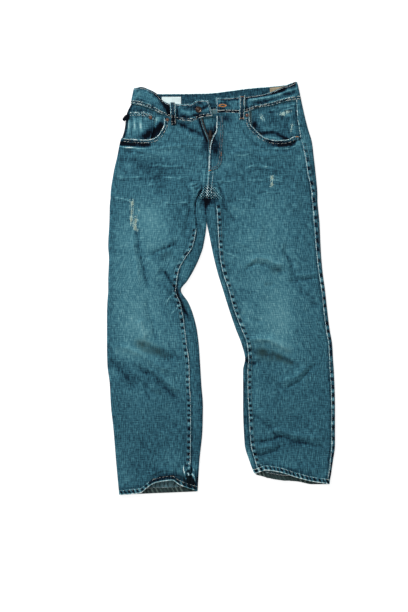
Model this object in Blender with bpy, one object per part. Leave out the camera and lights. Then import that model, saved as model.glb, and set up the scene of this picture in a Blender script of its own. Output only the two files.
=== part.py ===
"""Ripped denim jeans lying flat on their back, front up. Metres, +Z up, waist towards +Y.

Right and left are the wearer's, so the right leg lies at -X. Tables are in millimetres and become metres
where a mesh is made. Every leg is a flattened ring of cloth: a front face, two rounded folds and a back
face, worked out at any height from a table of sections. Each panel is a strip of that ring between seams.
"""

import math

import bmesh
import bpy
from mathutils import Matrix, Vector

MM = 0.001

# Driving dimensions
GAP = 0.3  # between pieces that touch
DENIM = 1.2  # wall of a panel
POCKETING = 1.0  # wall of a facing or coin pocket
FACING_DEPTH = DENIM + POCKETING + 2 * GAP  # the right facing, below the front panel's face
HEM_WALL = 3.0  # three layers of denim
HEM_HEIGHT = 13.0
BAND_WALL = 2.5
BAND_PROUD = 1.0  # the waistband's face above the panels'
LOOP_WALL = 1.2
LOOP_WIDTH = 13.0
LABEL_WALL = 0.8
FOLD_DEPTH = 6.0  # how far in from the outline a folded edge is round
MID_SHARE = 0.45  # a folded edge's widest point, as a share of the height
LEG_BASE = 0.0
HIP_BASE = DENIM + GAP  # the seat rests on the back pockets and the back loops
CENTRE = -36.0  # x of the centre back seam
SADDLE_Y = 166.0  # where the back seam turns under between the legs
PATCH_LOW = -434.0  # below it the rows bend towards the hem
PATCH_HIGH = 366.0  # above it the front rows bend towards the pocket mouth
FOLD_COLUMN_COUNT = 8  # columns of the right front that stay on the outer fold

# Sections of the legs and hips. From the crotch up, "inseam" is the front edge at the fly.
SECTION_COLUMNS = ("y", "outer", "outseam", "inseam", "inner")
RIGHT_SECTIONS = (
    (-520, -254, -246, -78, -59),
    (-434, -262, -254, -76, -54),
    (-349, -269, -261, -75, -46),
    (-294, -275, -267, -75, -45),
    (-239, -278, -270, -78, -49),
    (-189, -284, -276, -79, -52),
    (-144, -285, -277, -85, -55),
    (-104, -285, -277, -90, -60),
    (-64, -285, -277, -95, -70),
    (-34, -284, -276, -102, -82),
    (-4, -282, -274, -112, -100),
    (19, -282, -274, -110, -84),
    (46, -281, -273, -105, -68),
    (76, -280, -272, -89, -54),
    (106, -282, -274, -70, -44),
    (166, -279, -271, -60, -36),
    (206, -278, -270, -60, -36),
    (219, -277, -269, -56, -36),
    (226, -276, -268, -43, -36),
    (229, -276, -268, -36, -36),
    (291, -268, -260, -31, -36),
    (326, -260, -252, -30, -36),
    (366, -252, -244, -30, -36),
    (376, -249, -241, -33, -36),
    (396, -243, -235, -42, -36),
    (436, -237, -229, -54, -36),
    (462, -225, -217, -58, -36),
)
LEFT_SECTIONS = (
    (-489, 271, 263, 102, 94),
    (-434, 279, 271, 86, 72),
    (-389, 285, 275, 74, 59),
    (-294, 285, 275, 68, 55),
    (-249, 284, 274, 66, 55),
    (-204, 282, 271, 66, 55),
    (-176, 280, 270, 68, 60),
    (-141, 278, 268, 65, 52),
    (-99, 271, 261, 50, 36),
    (-49, 265, 255, 31, 19),
    (-4, 260, 250, 19, 5),
    (41, 254, 243, 4, -9),
    (86, 250, 238, -4, -20),
    (146, 247, 233, -8, -32),
    (166, 246, 231, -9, -36),
    (206, 242, 228, -12, -36),
    (219, 241, 227, -16, -36),
    (226, 241, 226, -29, -36),
    (229, 241, 226, -36, -36),
    (291, 236, 215, -31, -36),
    (326, 232, 210, -30, -36),
    (366, 227, 201, -25, -36),
    (396, 218, 195, -12, -36),
    (431, 209, 190, -12, -36),
    (472, 200, 188, -12, -36),
)

# Height of the front face above the floor
HEIGHTS = ((-520, 9), (-434, 6.4), (-141, 6.4), (0, 6.6), (166, 7), (229, 7.9), (480, 7.9))

# The largest folds, as soft ridges: from (x, y) to (x, y), half width, height
FOLD_COLUMNS = ("x0", "y0", "x1", "y1", "width", "height")
FOLDS = (
    (-160, 62, -112, -24, 12, 6.0),  # across the right knee from the inseam
    (-205, 130, -192, 10, 10, 2.5),  # down the right thigh from the rip
    (-270, -186, -228, -228, 12, 3.5),  # below the right knee, outside
    (-190, -205, -110, -280, 13, 4.5),  # below the right knee, inside
    (95, -150, 180, -178, 12, 4.0),  # across the left knee
    (160, -245, 215, -225, 12, 2.5),  # below the left knee
    (130, -385, 250, -388, 14, 3.0),  # across the left shin
    (-150, -492, -98, -494, 20, 9.0),  # the curled front of the right hem
    (105, -462, 170, -470, 14, 5.0),  # the curled front of the left hem
)

# Lower edge of each hem, front and back, as (x, y) from the outside of the leg to the inside
RIGHT_HEM_FRONT = (
    (-256, -516), (-202, -511), (-185, -498), (-172, -489), (-158, -484), (-122, -479), (-102, -491), (-58, -506),
)
RIGHT_HEM_BACK = ((-256, -516), (-200, -513), (-58, -507))
LEFT_HEM_FRONT = ((274, -489), (228, -482), (185, -471), (148, -459), (112, -454), (98, -458), (84, -463))
LEFT_HEM_BACK = ((274, -489), (228, -489), (190, -482), (148, -479), (92, -466), (84, -463))

# The pocket mouths, as (x, y) from the side seam up to the waist seam
RIGHT_MOUTH = (
    (-244, 375), (-222, 373), (-195, 371), (-178, 372), (-165, 376), (-155, 384), (-148, 396), (-142, 409), (-142, 426),
)
LEFT_MOUTH = (
    (198, 379), (182, 379), (168, 372), (148, 370), (128, 371), (110, 376), (98, 384), (88, 394), (78, 404), (72, 416),
    (70, 440),
)
RIGHT_YOKE_SEAM = ((-217, 428), (-36, 388))
LEFT_YOKE_SEAM = ((188, 432), (215, 430), (-36, 388))

# The waistband's edges, as (top x, top y, bottom x, bottom y)
BAND_FRONT_RIGHT = (
    (-32, 469, -20, 429), (-55, 470, -45, 426), (-78, 460, -75, 416), (-102, 460, -108, 419), (-128, 461, -135, 430),
    (-145, 469, -155, 438), (-160, 486, -172, 446), (-178, 496, -190, 454), (-200, 503, -208, 459),
)
BAND_FOLD_RIGHT = (-218, 500, -226, 461)
BAND_BACK = (
    (-190, 490, -192, 448), (-150, 486, -150, 445), (-45, 487, -45, 446), (72, 500, 76, 458), (160, 508, 166, 466),
)
BAND_FOLD_LEFT = (190, 516, 201, 471)
BAND_FRONT_LEFT = (
    (172, 509, 180, 469), (148, 500, 152, 464), (122, 489, 128, 457), (85, 482, 92, 450), (48, 479, 48, 436),
    (10, 475, 16, 438), (-13, 476, -11, 436),
)

# Small pieces
COIN_TOP = ((-240, 440), (-202, 441), (-170, 431))
BUTTON_AT = (-56, 446)
BUTTON_RADIUS = 8.0
BUTTON_HEIGHT = 3.4
RIVET_RADIUS = 4.3
RIVET_HEIGHT = 1.6
FRONT_LOOPS = {"right": (-119.5, 464, 408), "left": (52.5, 482, 421)}  # x, upper y, lower y
BACK_LOOPS = {"side_right": (-176, 492, 436), "back": (-36, 490, 436), "side_left": (160, 511, 455)}
BACK_POCKETS = {"right": (-160, -26), "left": (92, 24)}  # centre x, side the pocket leans to
POCKET_WIDTH = 148.0
POCKET_DEPTH = 162.0
POCKET_TOP = 388.0
SHIELD = (-60, 2, 292, 436)  # x0, x1, y0, y1
SHIELD_DEPTH = 3.6
V_LEFT = ((366, -30), (376, -33), (396, -42), (425, -50.7))  # y, x of the right front's free edge
V_RIGHT = ((366, -25), (379, -20), (396, -12), (430, -11))
SLIDER_AT = (-27, 377.5)
SLIDER_SIZE = (8.0, 9.0, 3.0)
PIN_HEIGHT = 2.1  # the pull's axis above the slider's back
PULL_LENGTH = 17.0
PULL_DROP = math.radians(7)

COLOURS = {
    "denim": ((0.035, 0.126, 0.183), 0.9, 0.0),
    "denim_dark": ((0.020, 0.085, 0.135), 0.9, 0.0),
    "hem_denim": ((0.030, 0.105, 0.145), 0.9, 0.0),
    "zip_tape": ((0.020, 0.040, 0.060), 0.85, 0.0),
    "bronze": ((0.150, 0.095, 0.055), 0.45, 1.0),
    "copper": ((0.420, 0.190, 0.110), 0.4, 1.0),
    "white_label": ((0.590, 0.730, 0.730), 0.8, 0.0),
    "tan_label": ((0.260, 0.240, 0.170), 0.8, 0.0),
}


def clear_scene():
    for ob in list(bpy.data.objects):
        bpy.data.objects.remove(ob)


def make_materials():
    made = {}
    for name, (colour, roughness, metallic) in COLOURS.items():
        material = bpy.data.materials.new(name)
        material.use_nodes = True
        shader = material.node_tree.nodes["Principled BSDF"]
        shader.inputs["Base Color"].default_value = (*colour, 1)
        shader.inputs["Roughness"].default_value = roughness
        shader.inputs["Metallic"].default_value = metallic
        made[name] = material
    return made


def interpolate(points, at):
    """The second value at a first value, between the points of a broken line in either order."""
    points = sorted(points)
    if at <= points[0][0]:
        return points[0][1]
    for (a, low), (b, high) in zip(points, points[1:]):
        if at <= b:
            return low + (high - low) * (at - a) / (b - a)
    return points[-1][1]


def along(points, share):
    """The point of a broken line at a share of its length."""
    lengths = [math.dist(a, b) for a, b in zip(points, points[1:])]
    left = share * sum(lengths)
    for a, b, length in zip(points, points[1:], lengths):
        if left <= length:
            return tuple(p + (q - p) * left / length for p, q in zip(a, b))
        left -= length
    return tuple(points[-1])


class Leg:
    """One leg with its half of the hips."""

    def __init__(self, name, sections, hem_front, hem_back, mouth, band, yoke_seam):
        self.name = name
        self.lines = {
            column: [(row[0], row[i]) for row in sections] for i, column in enumerate(SECTION_COLUMNS) if i
        }
        self.inward = 1 if name == "right" else -1  # the way from the outside of the leg to the inside
        self.hems = {"front": hem_front, "back": hem_back}
        self.mouth = mouth
        self.waist = sorted(((row[2], row[3]) for row in band), reverse=name == "left")
        self.yoke_seam = yoke_seam

    def at(self, column, y):
        return interpolate(self.lines[column], y)

    def edge_distance(self, x, y):
        """How far a point is inside the outline, at the outer side and between the legs."""
        outer = max(0.0, (x - self.at("outer", y)) * self.inward)
        across = max(0.0, (self.at("inner", y) - x) * self.inward)
        return outer, math.hypot(across, max(0.0, y - SADDLE_Y))


def fold_height(x, y):
    total = 0.0
    for row in FOLDS:
        fold = dict(zip(FOLD_COLUMNS, row))
        start = Vector((fold["x0"], fold["y0"]))
        way = Vector((fold["x1"], fold["y1"])) - start
        share = (Vector((x, y)) - start).dot(way) / way.length_squared
        near = start + way * min(1.0, max(0.0, share))
        away = (Vector((x, y)) - near).length / fold["width"]
        total += fold["height"] * math.exp(-away * away)
    return total


def base_height(y):
    return interpolate(((110, LEG_BASE), (190, HIP_BASE)), y)


def round_off(distance):
    """Quarter circle from 0 at the outline to 1 where the fold ends."""
    share = min(1.0, distance / FOLD_DEPTH)
    return math.sqrt(1.0 - (1.0 - share) ** 2)


def surface(leg, face, x, y):
    """Height of the cloth's outer face."""
    base = base_height(y)
    top = interpolate(HEIGHTS, y)
    middle = base + MID_SHARE * (top - base)
    outer, inner = leg.edge_distance(x, y)
    share = round_off(outer) * round_off(inner)
    if face == "back":
        return middle + (base - middle) * share
    return middle + (top + fold_height(x, y) - middle) * share


def span(leg, face, start, end, count, round_start=False, round_end=False, gap_start=False, gap_end=False):
    """Columns of a strip from one line of the sections to another, as (face, start, end, share, offset).

    They stand closer together round a folded edge."""
    way = 1 if leg.at(end, 0.0) > leg.at(start, 0.0) else -1
    turn = [FOLD_DEPTH * (1 - math.cos(math.radians(angle))) for angle in (0, 30, 60)]
    columns = []
    if round_start:
        columns += [(face, start, end, 0.0, way * d) for d in turn]
    for i in range(count + 1):
        share = i / count
        offset = FOLD_DEPTH * ((1 - share) * round_start - share * round_end)
        offset += GAP / 2 * ((i == 0) * gap_start - (i == count) * gap_end)
        columns.append((face, start, end, share, way * offset))
    if round_end:
        columns += [(face, start, end, 1.0, -way * d) for d in reversed(turn)]
    return columns


def column_x(leg, column, y):
    _, start, end, share, offset = column
    return (1 - share) * leg.at(start, y) + share * leg.at(end, y) + offset


def level(leg, columns, y):
    return [(column_x(leg, c, y), y) for c in columns]


def curve_line(leg, columns, curves, shift=0.0):
    """Where the columns meet an edge that is given as y along x for each face."""
    line = []
    for column in columns:
        x, y = 0.0, interpolate(curves[column[0]], 0.0)
        for _ in range(6):
            x = column_x(leg, column, y)
            y = interpolate(curves[column[0]], x) + shift
        line.append((x, y))
    return line


def between(leg, columns, low, high, shares):
    """Lines between two edges, with each column keeping to its place on the ring."""
    lines = []
    for share in shares:
        ys = [a[1] + (b[1] - a[1]) * share for a, b in zip(low, high)]
        lines.append([(column_x(leg, c, y), y) for c, y in zip(columns, ys)])
    return lines


def raised(leg, columns, lines):
    """The lines as rows of points on the cloth's outer face."""
    return [[Vector((x, y, surface(leg, c[0], x, y))) for c, (x, y) in zip(columns, line)] for line in lines]


def moved(rows, distances):
    """Rows of points moved along their own normals, by a distance for each column."""
    result = []
    last_row, last_column = len(rows) - 1, len(rows[0]) - 1
    for i, row in enumerate(rows):
        new_row = []
        for j, point in enumerate(row):
            across = row[min(j + 1, last_column)] - row[max(j - 1, 0)]
            up = rows[min(i + 1, last_row)][j] - rows[max(i - 1, 0)][j]
            normal = across.cross(up).normalized()
            new_row.append(point + normal * distances[j])
        result.append(new_row)
    return result


def finish(name, mesh, material):
    ob = bpy.data.objects.new(name, mesh)
    bpy.context.scene.collection.objects.link(ob)
    mesh.materials.append(material)
    return ob


def sheet(name, patches, wall, material, flip=False):
    """A closed wall whose outer face is one or more patches of rows of points that share their edges."""
    bm = bmesh.new()
    for rows, closed in patches:
        grid = [[bm.verts.new(p * MM) for p in row] for row in rows]
        for low, high in zip(grid, grid[1:]):
            pairs = list(zip(low, low[1:], high[1:], high))
            if closed:
                pairs.append((low[-1], low[0], high[0], high[-1]))
            for quad in pairs:
                bm.faces.new(reversed(quad) if flip else quad)
    bmesh.ops.remove_doubles(bm, verts=bm.verts, dist=0.00001)
    mesh = bpy.data.meshes.new(name)
    bm.to_mesh(mesh)
    bm.free()
    ob = finish(name, mesh, material)
    solid = ob.modifiers.new("wall", "SOLIDIFY")
    solid.thickness = wall * MM
    solid.offset = -1
    return ob


def lathe(name, profile, at, material, segments=24):
    """A solid turned about a vertical axis from (radius, height) points that start and end on the axis."""
    bm = bmesh.new()
    edges = []
    verts = [bm.verts.new((r * MM, 0, z * MM)) for r, z in profile]
    for a, b in zip(verts, verts[1:]):
        edges.append(bm.edges.new((a, b)))
    bmesh.ops.spin(bm, geom=verts + edges, axis=(0, 0, 1), cent=(0, 0, 0), angle=math.tau, steps=segments)
    bmesh.ops.remove_doubles(bm, verts=bm.verts, dist=0.000005)
    bmesh.ops.recalc_face_normals(bm, faces=bm.faces)
    mesh = bpy.data.meshes.new(name)
    bm.to_mesh(mesh)
    bm.free()
    ob = finish(name, mesh, material)
    ob.location = Vector(at) * MM
    return ob


def front_columns(leg):
    """From the outseam to the inseam, over the outer fold on the right leg."""
    if leg.name == "left":
        return span(leg, "front", "outseam", "inseam", 13, gap_start=True, gap_end=True)
    turned = span(leg, "back", "outseam", "outer", 1, round_end=True, gap_start=True)
    return turned[:-1] + span(leg, "front", "outer", "inseam", 10, round_start=True, gap_end=True)


def strip_columns(leg):
    """The back panel's strip that turns over to the front, from the inseam to the inner fold."""
    return span(leg, "front", "inseam", "inner", 2, round_end=True, gap_start=True)


def under_columns(leg):
    """From the inner fold across the underside to the outseam, which shows in front on the left leg."""
    if leg.name == "right":
        return span(leg, "back", "inner", "outseam", 6, round_start=True, gap_end=True)
    under = span(leg, "back", "inner", "outer", 5, round_start=True, round_end=True)
    return under + span(leg, "front", "outer", "outseam", 1, round_start=True, gap_end=True)[1:]


def front_panels(legs, materials):
    for leg in legs.values():
        columns = front_columns(leg)
        fold_columns = FOLD_COLUMN_COUNT if leg.name == "right" else 1
        hem = curve_line(leg, columns, leg.hems, HEM_HEIGHT + GAP)
        low = level(leg, columns, PATCH_LOW)
        lines = between(leg, columns, hem, low, (0.0, 0.35, 0.7))
        ys = sorted(y for y, _ in leg.lines["outer"] if PATCH_LOW <= y <= PATCH_HIGH)
        lines += [level(leg, columns, y) for y in ys]

        # Above the last level row the columns spread along the pocket mouth, then step along the waist seam.
        corner = leg.mouth[-1][0]
        bow = V_LEFT if leg.name == "right" else V_RIGHT
        fly_x = bow[-1][1] - leg.inward * GAP
        waist = [(x, y - GAP) for x, y in leg.waist if corner * leg.inward < x * leg.inward < fly_x * leg.inward]
        waist.append((fly_x, interpolate(leg.waist, fly_x) - GAP))
        edge = level(leg, columns[:fold_columns], leg.mouth[0][1])
        mouth = [edge[-1], *leg.mouth[1:-1], (corner, interpolate(leg.waist, corner) - GAP)]
        mouth_columns = len(columns) - fold_columns - len(waist)
        edge += [along(mouth, (i + 1) / mouth_columns) for i in range(mouth_columns)]
        edge += waist
        first = lines[-1]
        for share in (0.12, 0.3, 0.5, 0.7, 0.86, 1.0):
            line = []
            for j, (a, b) in enumerate(zip(first, edge)):
                x, y = (a[k] + (b[k] - a[k]) * share for k in (0, 1))
                pull = max(0.0, j / (len(columns) - 1) * 2 - 1) ** 3
                free = first[-1][1] + (edge[-1][1] - first[-1][1]) * share
                straight = first[-1][0] + (edge[-1][0] - first[-1][0]) * share
                x += pull * (interpolate(bow, free) - leg.inward * GAP - straight)
                line.append((x, y))
            lines.append(line)
        rows = raised(leg, columns, lines)
        sheet(f"front_panel_{leg.name}", [(rows, False)], DENIM, materials["denim"], leg.name == "left")


def back_panels(legs, materials):
    for leg in legs.values():
        strip, under = strip_columns(leg), under_columns(leg)
        columns = strip[:-1] + under
        hem = curve_line(leg, columns, leg.hems, HEM_HEIGHT + GAP)
        low = level(leg, columns, PATCH_LOW)
        lines = between(leg, columns, hem, low, (0.0, 0.35, 0.7))
        ys = sorted(y for y, _ in leg.lines["outer"] if PATCH_LOW <= y <= SADDLE_Y)
        lines += [level(leg, columns, y) for y in ys]

        # The strip that turns over the front ends in a tongue that reaches the crotch.
        tongue = [level(leg, strip, y) for y in (SADDLE_Y, 172, 180, 192, 206, 219, 226)]
        # The seat goes on underneath, up to the yoke.
        seam = {face: leg.yoke_seam for face in ("front", "back")}
        seat_top = curve_line(leg, under, seam, -GAP)
        seat = [level(leg, under, y) for y in (SADDLE_Y, 180, 206, 229, 291, 326, PATCH_HIGH, 380)]
        seat.append(seat_top)
        for lines_of, cols in ((tongue, strip), (seat, under)):
            for line in lines_of[1:]:
                k = len(cols) - 1 if cols is strip else 0
                line[k] = (CENTRE - leg.inward * GAP / 2, line[k][1])
        patches = [(raised(leg, columns, lines), False)]
        patches.append((raised(leg, strip, tongue), False))
        patches.append((raised(leg, under, seat), False))
        sheet(f"back_panel_{leg.name}", patches, DENIM, materials["denim"], leg.name == "left")


def yokes(legs, materials):
    for leg in legs.values():
        if leg.name == "right":
            columns = span(leg, "back", "inner", "outseam", 6, gap_start=True, gap_end=True)
        else:
            columns = span(leg, "back", "inner", "outer", 6, round_end=True, gap_start=True)
            columns += span(leg, "front", "outer", "outseam", 1, round_start=True, gap_end=True)[1:]
        low = curve_line(leg, columns, {face: leg.yoke_seam for face in ("front", "back")})
        band_low = sorted((row[2], row[3]) for row in (*BAND_BACK, BAND_FOLD_LEFT, BAND_FOLD_RIGHT))
        high = curve_line(leg, columns, {"back": band_low, "front": leg.waist}, -3 * GAP)
        lines = between(leg, columns, low, high, (0.0, 0.5, 1.0))
        sheet(f"yoke_{leg.name}", [(raised(leg, columns, lines), False)], DENIM, materials["denim"], leg.name == "left")


def hems(legs, materials):
    for leg in legs.values():
        columns = front_columns(leg)[:-1] + strip_columns(leg)[:-1] + under_columns(leg)[:-1]
        low = curve_line(leg, columns, leg.hems)
        high = curve_line(leg, columns, leg.hems, HEM_HEIGHT)
        rows = raised(leg, columns, [low, high])
        sheet(f"hem_{leg.name}", [(rows, True)], HEM_WALL, materials["hem_denim"], leg.name == "left")


def pocket_facings(legs, materials):
    """The facing behind each mouth, from the waist seam to under the front panel. The right one lies deeper,
    below the coin pocket, but not at the outer fold."""
    columns = {
        "right": [(d, -depth) for d, depth in zip((2, 3.5, 6, 9), (1.7, 1.7, 2.2, FACING_DEPTH))]
        + [(9 + 11.2 * i, -FACING_DEPTH) for i in range(1, 10)],
        "left": [(i * 13.7, DENIM + GAP) for i in range(10)],
    }
    for leg in legs.values():
        side = "outer" if leg.name == "right" else "outseam"
        rows = []
        for share in (0.0, 0.25, 0.5, 0.75, 1.0):
            row = []
            for inside, _ in columns[leg.name]:
                x = leg.at(side, 400) + leg.inward * (inside + GAP)
                low = interpolate(leg.mouth[:-1], x) - 10
                high = interpolate(leg.waist, x) - 2 * GAP
                y = low + (high - low) * share
                x += (leg.at(side, y) - leg.at(side, 400)) * (1 - inside / 130)
                row.append(Vector((x, y, surface(leg, "front", x, y))))
            rows.append(row)
        rows = moved(rows, [depth for _, depth in columns[leg.name]])
        sheet(f"pocket_facing_{leg.name}", [(rows, False)], POCKETING, materials["denim_dark"], leg.name == "left")


def coin_pocket(leg, materials):
    rows = []
    for share in (0.0, 0.35, 0.7, 1.0):
        row = []
        for i in range(8):
            x = COIN_TOP[0][0] + (COIN_TOP[-1][0] - COIN_TOP[0][0]) * i / 7
            low = interpolate(leg.mouth[:-1], x) - 9
            y = low + (interpolate(COIN_TOP, x) - low) * share
            inside = leg.at("outer", y) + 9 + (x - COIN_TOP[0][0]) * 0.92
            row.append(Vector((inside, y, surface(leg, "front", inside, y))))
        rows.append(row)
    sheet("coin_pocket", [(moved(rows, [-GAP - DENIM] * 8), False)], POCKETING, materials["denim"])


def waistband(materials):
    top = interpolate(HEIGHTS, 460) + BAND_PROUD
    radius = (top - HIP_BASE) / 2
    rows = [[], [], []]

    def station(edge, z, shift=0.0):
        top_x, top_y, low_x, low_y = edge
        for row, share in zip(rows, (0.0, 0.5, 1.0)):
            x = low_x + (top_x - low_x) * share + shift
            row.append(Vector((x, low_y + (top_y - low_y) * share, z)))

    for edge in BAND_FRONT_RIGHT:
        station(edge, top)
    for angle in (60, 25, -10, -45, -75):
        turn = math.radians(angle)
        station(BAND_FOLD_RIGHT, HIP_BASE + radius + radius * math.sin(turn), radius * (1 - math.cos(turn)))
    for edge in BAND_BACK:
        station(edge, HIP_BASE)
    for angle in (-75, -45, -10, 25, 60):
        turn = math.radians(angle)
        station(BAND_FOLD_LEFT, HIP_BASE + radius + radius * math.sin(turn), -radius * (1 - math.cos(turn)))
    for edge in BAND_FRONT_LEFT:
        station(edge, top)
    sheet("waistband", [(rows, False)], BAND_WALL, materials["denim"], True)
    return top


def belt_loops(band_top, legs, materials):
    half = LOOP_WIDTH / 2
    for side, (x, high, low) in FRONT_LOOPS.items():
        rows = []
        on_panel = surface(legs[side], "front", x, low) + GAP + LOOP_WALL
        on_band = band_top + GAP + LOOP_WALL
        for share, z in ((0, on_panel), (0.12, on_panel), (0.2, on_band), (0.5, on_band + 1.5), (1, on_band)):
            y = low + (high - low) * share
            rows.append([Vector((x + dx, y, z)) for dx in (-half, half)])
        sheet(f"belt_loop_front_{side}", [(rows, False)], LOOP_WALL, materials["denim"])
    for side, (x, high, low) in BACK_LOOPS.items():
        rows = [[Vector((x + dx, y, 0.0)) for dx in (-half, half)] for y in (low, (low + high) / 2, high)]
        sheet(f"belt_loop_{side}", [(rows, False)], LOOP_WALL, materials["denim"], True)


def back_pockets(materials):
    for side, (x, lean) in BACK_POCKETS.items():
        half = POCKET_WIDTH / 2
        tilt = Matrix.Rotation(math.radians(lean / 10), 2)
        rows = []
        for share, width, drop in ((0.0, 0.86, 0.0), (0.12, 0.92, 0.0), (1.0, 1.0, 0.0)):
            row = []
            for i in range(7):
                u = i / 3 - 1
                point = Vector((u * half * width, -POCKET_DEPTH * (1 - share) - (1 - abs(u)) * 22 * (share == 0.0)))
                row.append((tilt @ point).to_3d() + Vector((x, POCKET_TOP, drop)))
            rows.append(row)
        sheet(f"back_pocket_{side}", [(rows, False)], DENIM, materials["denim"], True)


def fly(legs, materials):
    x0, x1, y0, y1 = SHIELD
    right = legs["right"]

    def on_front(x, y, depth):
        return Vector((x, y, surface(right, "front", x, y) - depth))

    height = interpolate(HEIGHTS, SLIDER_AT[1])
    rows = [[Vector((x0 + (x1 - x0) * i / 4, y, height - SHIELD_DEPTH)) for i in range(5)] for y in (y0, 360, y1)]
    sheet("fly_shield", [(rows, False)], DENIM, materials["denim_dark"])

    width, length, thick = SLIDER_SIZE
    clear = width / 2 + GAP
    low, high = SLIDER_AT[1] - length / 2 - GAP, SLIDER_AT[1] + length / 2 + GAP
    for side, way, line in (("right", -1, V_LEFT), ("left", 1, V_RIGHT)):
        rows = []
        stations = ((300, GAP / 2), (low - 0.2, GAP / 2), (low, clear), (high, clear), (high + 4, None), (430, None))
        for y, apart in stations:
            edge = interpolate(line, y)
            free = SLIDER_AT[0] + way * apart if apart else edge - way * 4
            hidden = SLIDER_AT[0] + way * 13 if apart else edge + way * 9
            pair = [on_front(x, y, 0.0) for x in sorted((hidden, free))]
            for point in pair:
                point.z = height - DENIM - GAP
            rows.append(pair)
        sheet(f"zip_tape_{side}", [(rows, False)], 0.6, materials["zip_tape"])
    make_slider(height - GAP - thick, materials["bronze"])


def make_slider(bottom, material):
    """The slider's body with two posts that hold a pin, and the pull tab whose eye turns on that pin."""
    width, length, thick = SLIDER_SIZE
    pin = 0.5
    axis = thick + PIN_HEIGHT
    xs = (-width / 2, -3.0, -2.0, 2.0, 3.0, width / 2)
    ys = (-length / 2, -pin, pin, length / 2)
    zs = (0.0, thick, axis - pin, axis + pin)

    def filled(i, j, k):
        if not (0 <= i < 5 and 0 <= j < 3 and 0 <= k < 3):
            return False
        return k == 0 or (j == 1 and (i in (1, 3) or (k == 2 and i == 2)))

    bm = bmesh.new()
    corners = {}

    def corner(i, j, k):
        if (i, j, k) not in corners:
            corners[i, j, k] = bm.verts.new(Vector((xs[i], ys[j], zs[k])) * MM)
        return corners[i, j, k]

    for i in range(5):
        for j in range(3):
            for k in range(3):
                if not filled(i, j, k):
                    continue
                for axis_index in range(3):
                    for step in (0, 1):
                        other = [i, j, k]
                        other[axis_index] += 1 if step else -1
                        if filled(*other):
                            continue
                        a, b = [n for n in range(3) if n != axis_index]
                        quad = []
                        for da, db in ((0, 0), (1, 0), (1, 1), (0, 1)):
                            index = [i, j, k]
                            index[axis_index] += step
                            index[a] += da
                            index[b] += db
                            quad.append(corner(*index))
                        bm.faces.new(quad)
    bmesh.ops.recalc_face_normals(bm, faces=bm.faces)
    mesh = bpy.data.meshes.new("zip_slider")
    bm.to_mesh(mesh)
    bm.free()
    slider = finish("zip_slider", mesh, material)
    slider.location = Vector((*SLIDER_AT, bottom)) * MM

    # The pull: a short tube round the pin, with a plate drawn out of its front.
    eye, hole, half = 1.8, 1.0, 1.7
    bm = bmesh.new()
    rings = []
    for x, radius in ((-half, hole), (-half, eye), (half, eye), (half, hole)):
        ring = []
        for i in range(24):
            turn = math.tau * (i + 0.5) / 24
            ring.append(bm.verts.new(Vector((x, radius * math.cos(turn), radius * math.sin(turn))) * MM))
        rings.append(ring)
    for a, b in zip(rings, rings[1:] + rings[:1]):
        for i in range(24):
            bm.faces.new((a[i], a[(i + 1) % 24], b[(i + 1) % 24], b[i]))
    bmesh.ops.recalc_face_normals(bm, faces=bm.faces)
    front = [f for f in bm.faces if f.normal.y > 0.95 and f.calc_center_median().y > hole * MM * 1.1]
    for reach, wide, high in ((3.2, 2.7, 0.5), (PULL_LENGTH, 2.9, 0.45)):
        drawn = bmesh.ops.extrude_face_region(bm, geom=front)
        bmesh.ops.delete(bm, geom=front, context="FACES")
        front = [g for g in drawn["geom"] if isinstance(g, bmesh.types.BMFace)]
        tallest = max(v.co.z for g in front for v in g.verts)
        for vert in {v for g in front for v in g.verts}:
            vert.co.y = reach * MM
            vert.co.x = math.copysign(wide * MM, vert.co.x)
            vert.co.z *= high * MM / tallest
    bmesh.ops.rotate(bm, verts=bm.verts, matrix=Matrix.Rotation(-PULL_DROP, 3, "X"), cent=(0, 0, 0))
    bmesh.ops.recalc_face_normals(bm, faces=bm.faces)
    mesh = bpy.data.meshes.new("zip_pull")
    bm.to_mesh(mesh)
    bm.free()
    pull = finish("zip_pull", mesh, material)
    pull.location = Vector((*SLIDER_AT, bottom + axis)) * MM


def metal_and_labels(band_top, legs, materials):
    r, h = BUTTON_RADIUS, BUTTON_HEIGHT
    dome = ((0, 0), (r * 0.8, 0), (r, h * 0.35), (r, h * 0.6), (r * 0.82, h), (r * 0.45, h * 0.8), (0, h * 0.85))
    lathe("waist_button", dome, (*BUTTON_AT, band_top + GAP), materials["bronze"])
    r, h = RIVET_RADIUS, RIVET_HEIGHT
    cap = ((0, 0), (r, 0), (r * 0.9, h * 0.7), (r * 0.5, h), (0, h))
    right, left = legs["right"], legs["left"]
    on_coin = surface(right, "front", -176, 426) - DENIM
    lathe("rivet_coin", cap, (-176, 426, on_coin), materials["copper"], 16)
    lathe("rivet_pocket_right", cap, (-134, 421, surface(right, "front", -134, 421) + GAP), materials["copper"], 16)
    lathe("rivet_pocket_left", cap, (65, 432, surface(left, "front", 65, 432) + GAP), materials["copper"], 16)

    inside = HIP_BASE + BAND_WALL + GAP + LABEL_WALL
    rows = [[Vector((x, y, inside)) for x in (-148, -100)] for y in (448, 478.5)]
    sheet("inner_label", [(rows, False)], LABEL_WALL, materials["white_label"])
    rows = [[Vector((x, y + lift, inside)) for x, lift in ((122, 0), (160, 4))] for y in (476, 501)]
    sheet("tan_label", [(rows, False)], LABEL_WALL, materials["tan_label"])

    rows = []
    for y in (419, 436):
        near = surface(right, "front", -229, y)
        rows.append([Vector((-246, y, near - 4.5)), Vector((-238, y, near)), Vector((-229, y, near + GAP + DENIM))])
    sheet("side_tab", [(rows, False)], 1.5, materials["denim_dark"])


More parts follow.
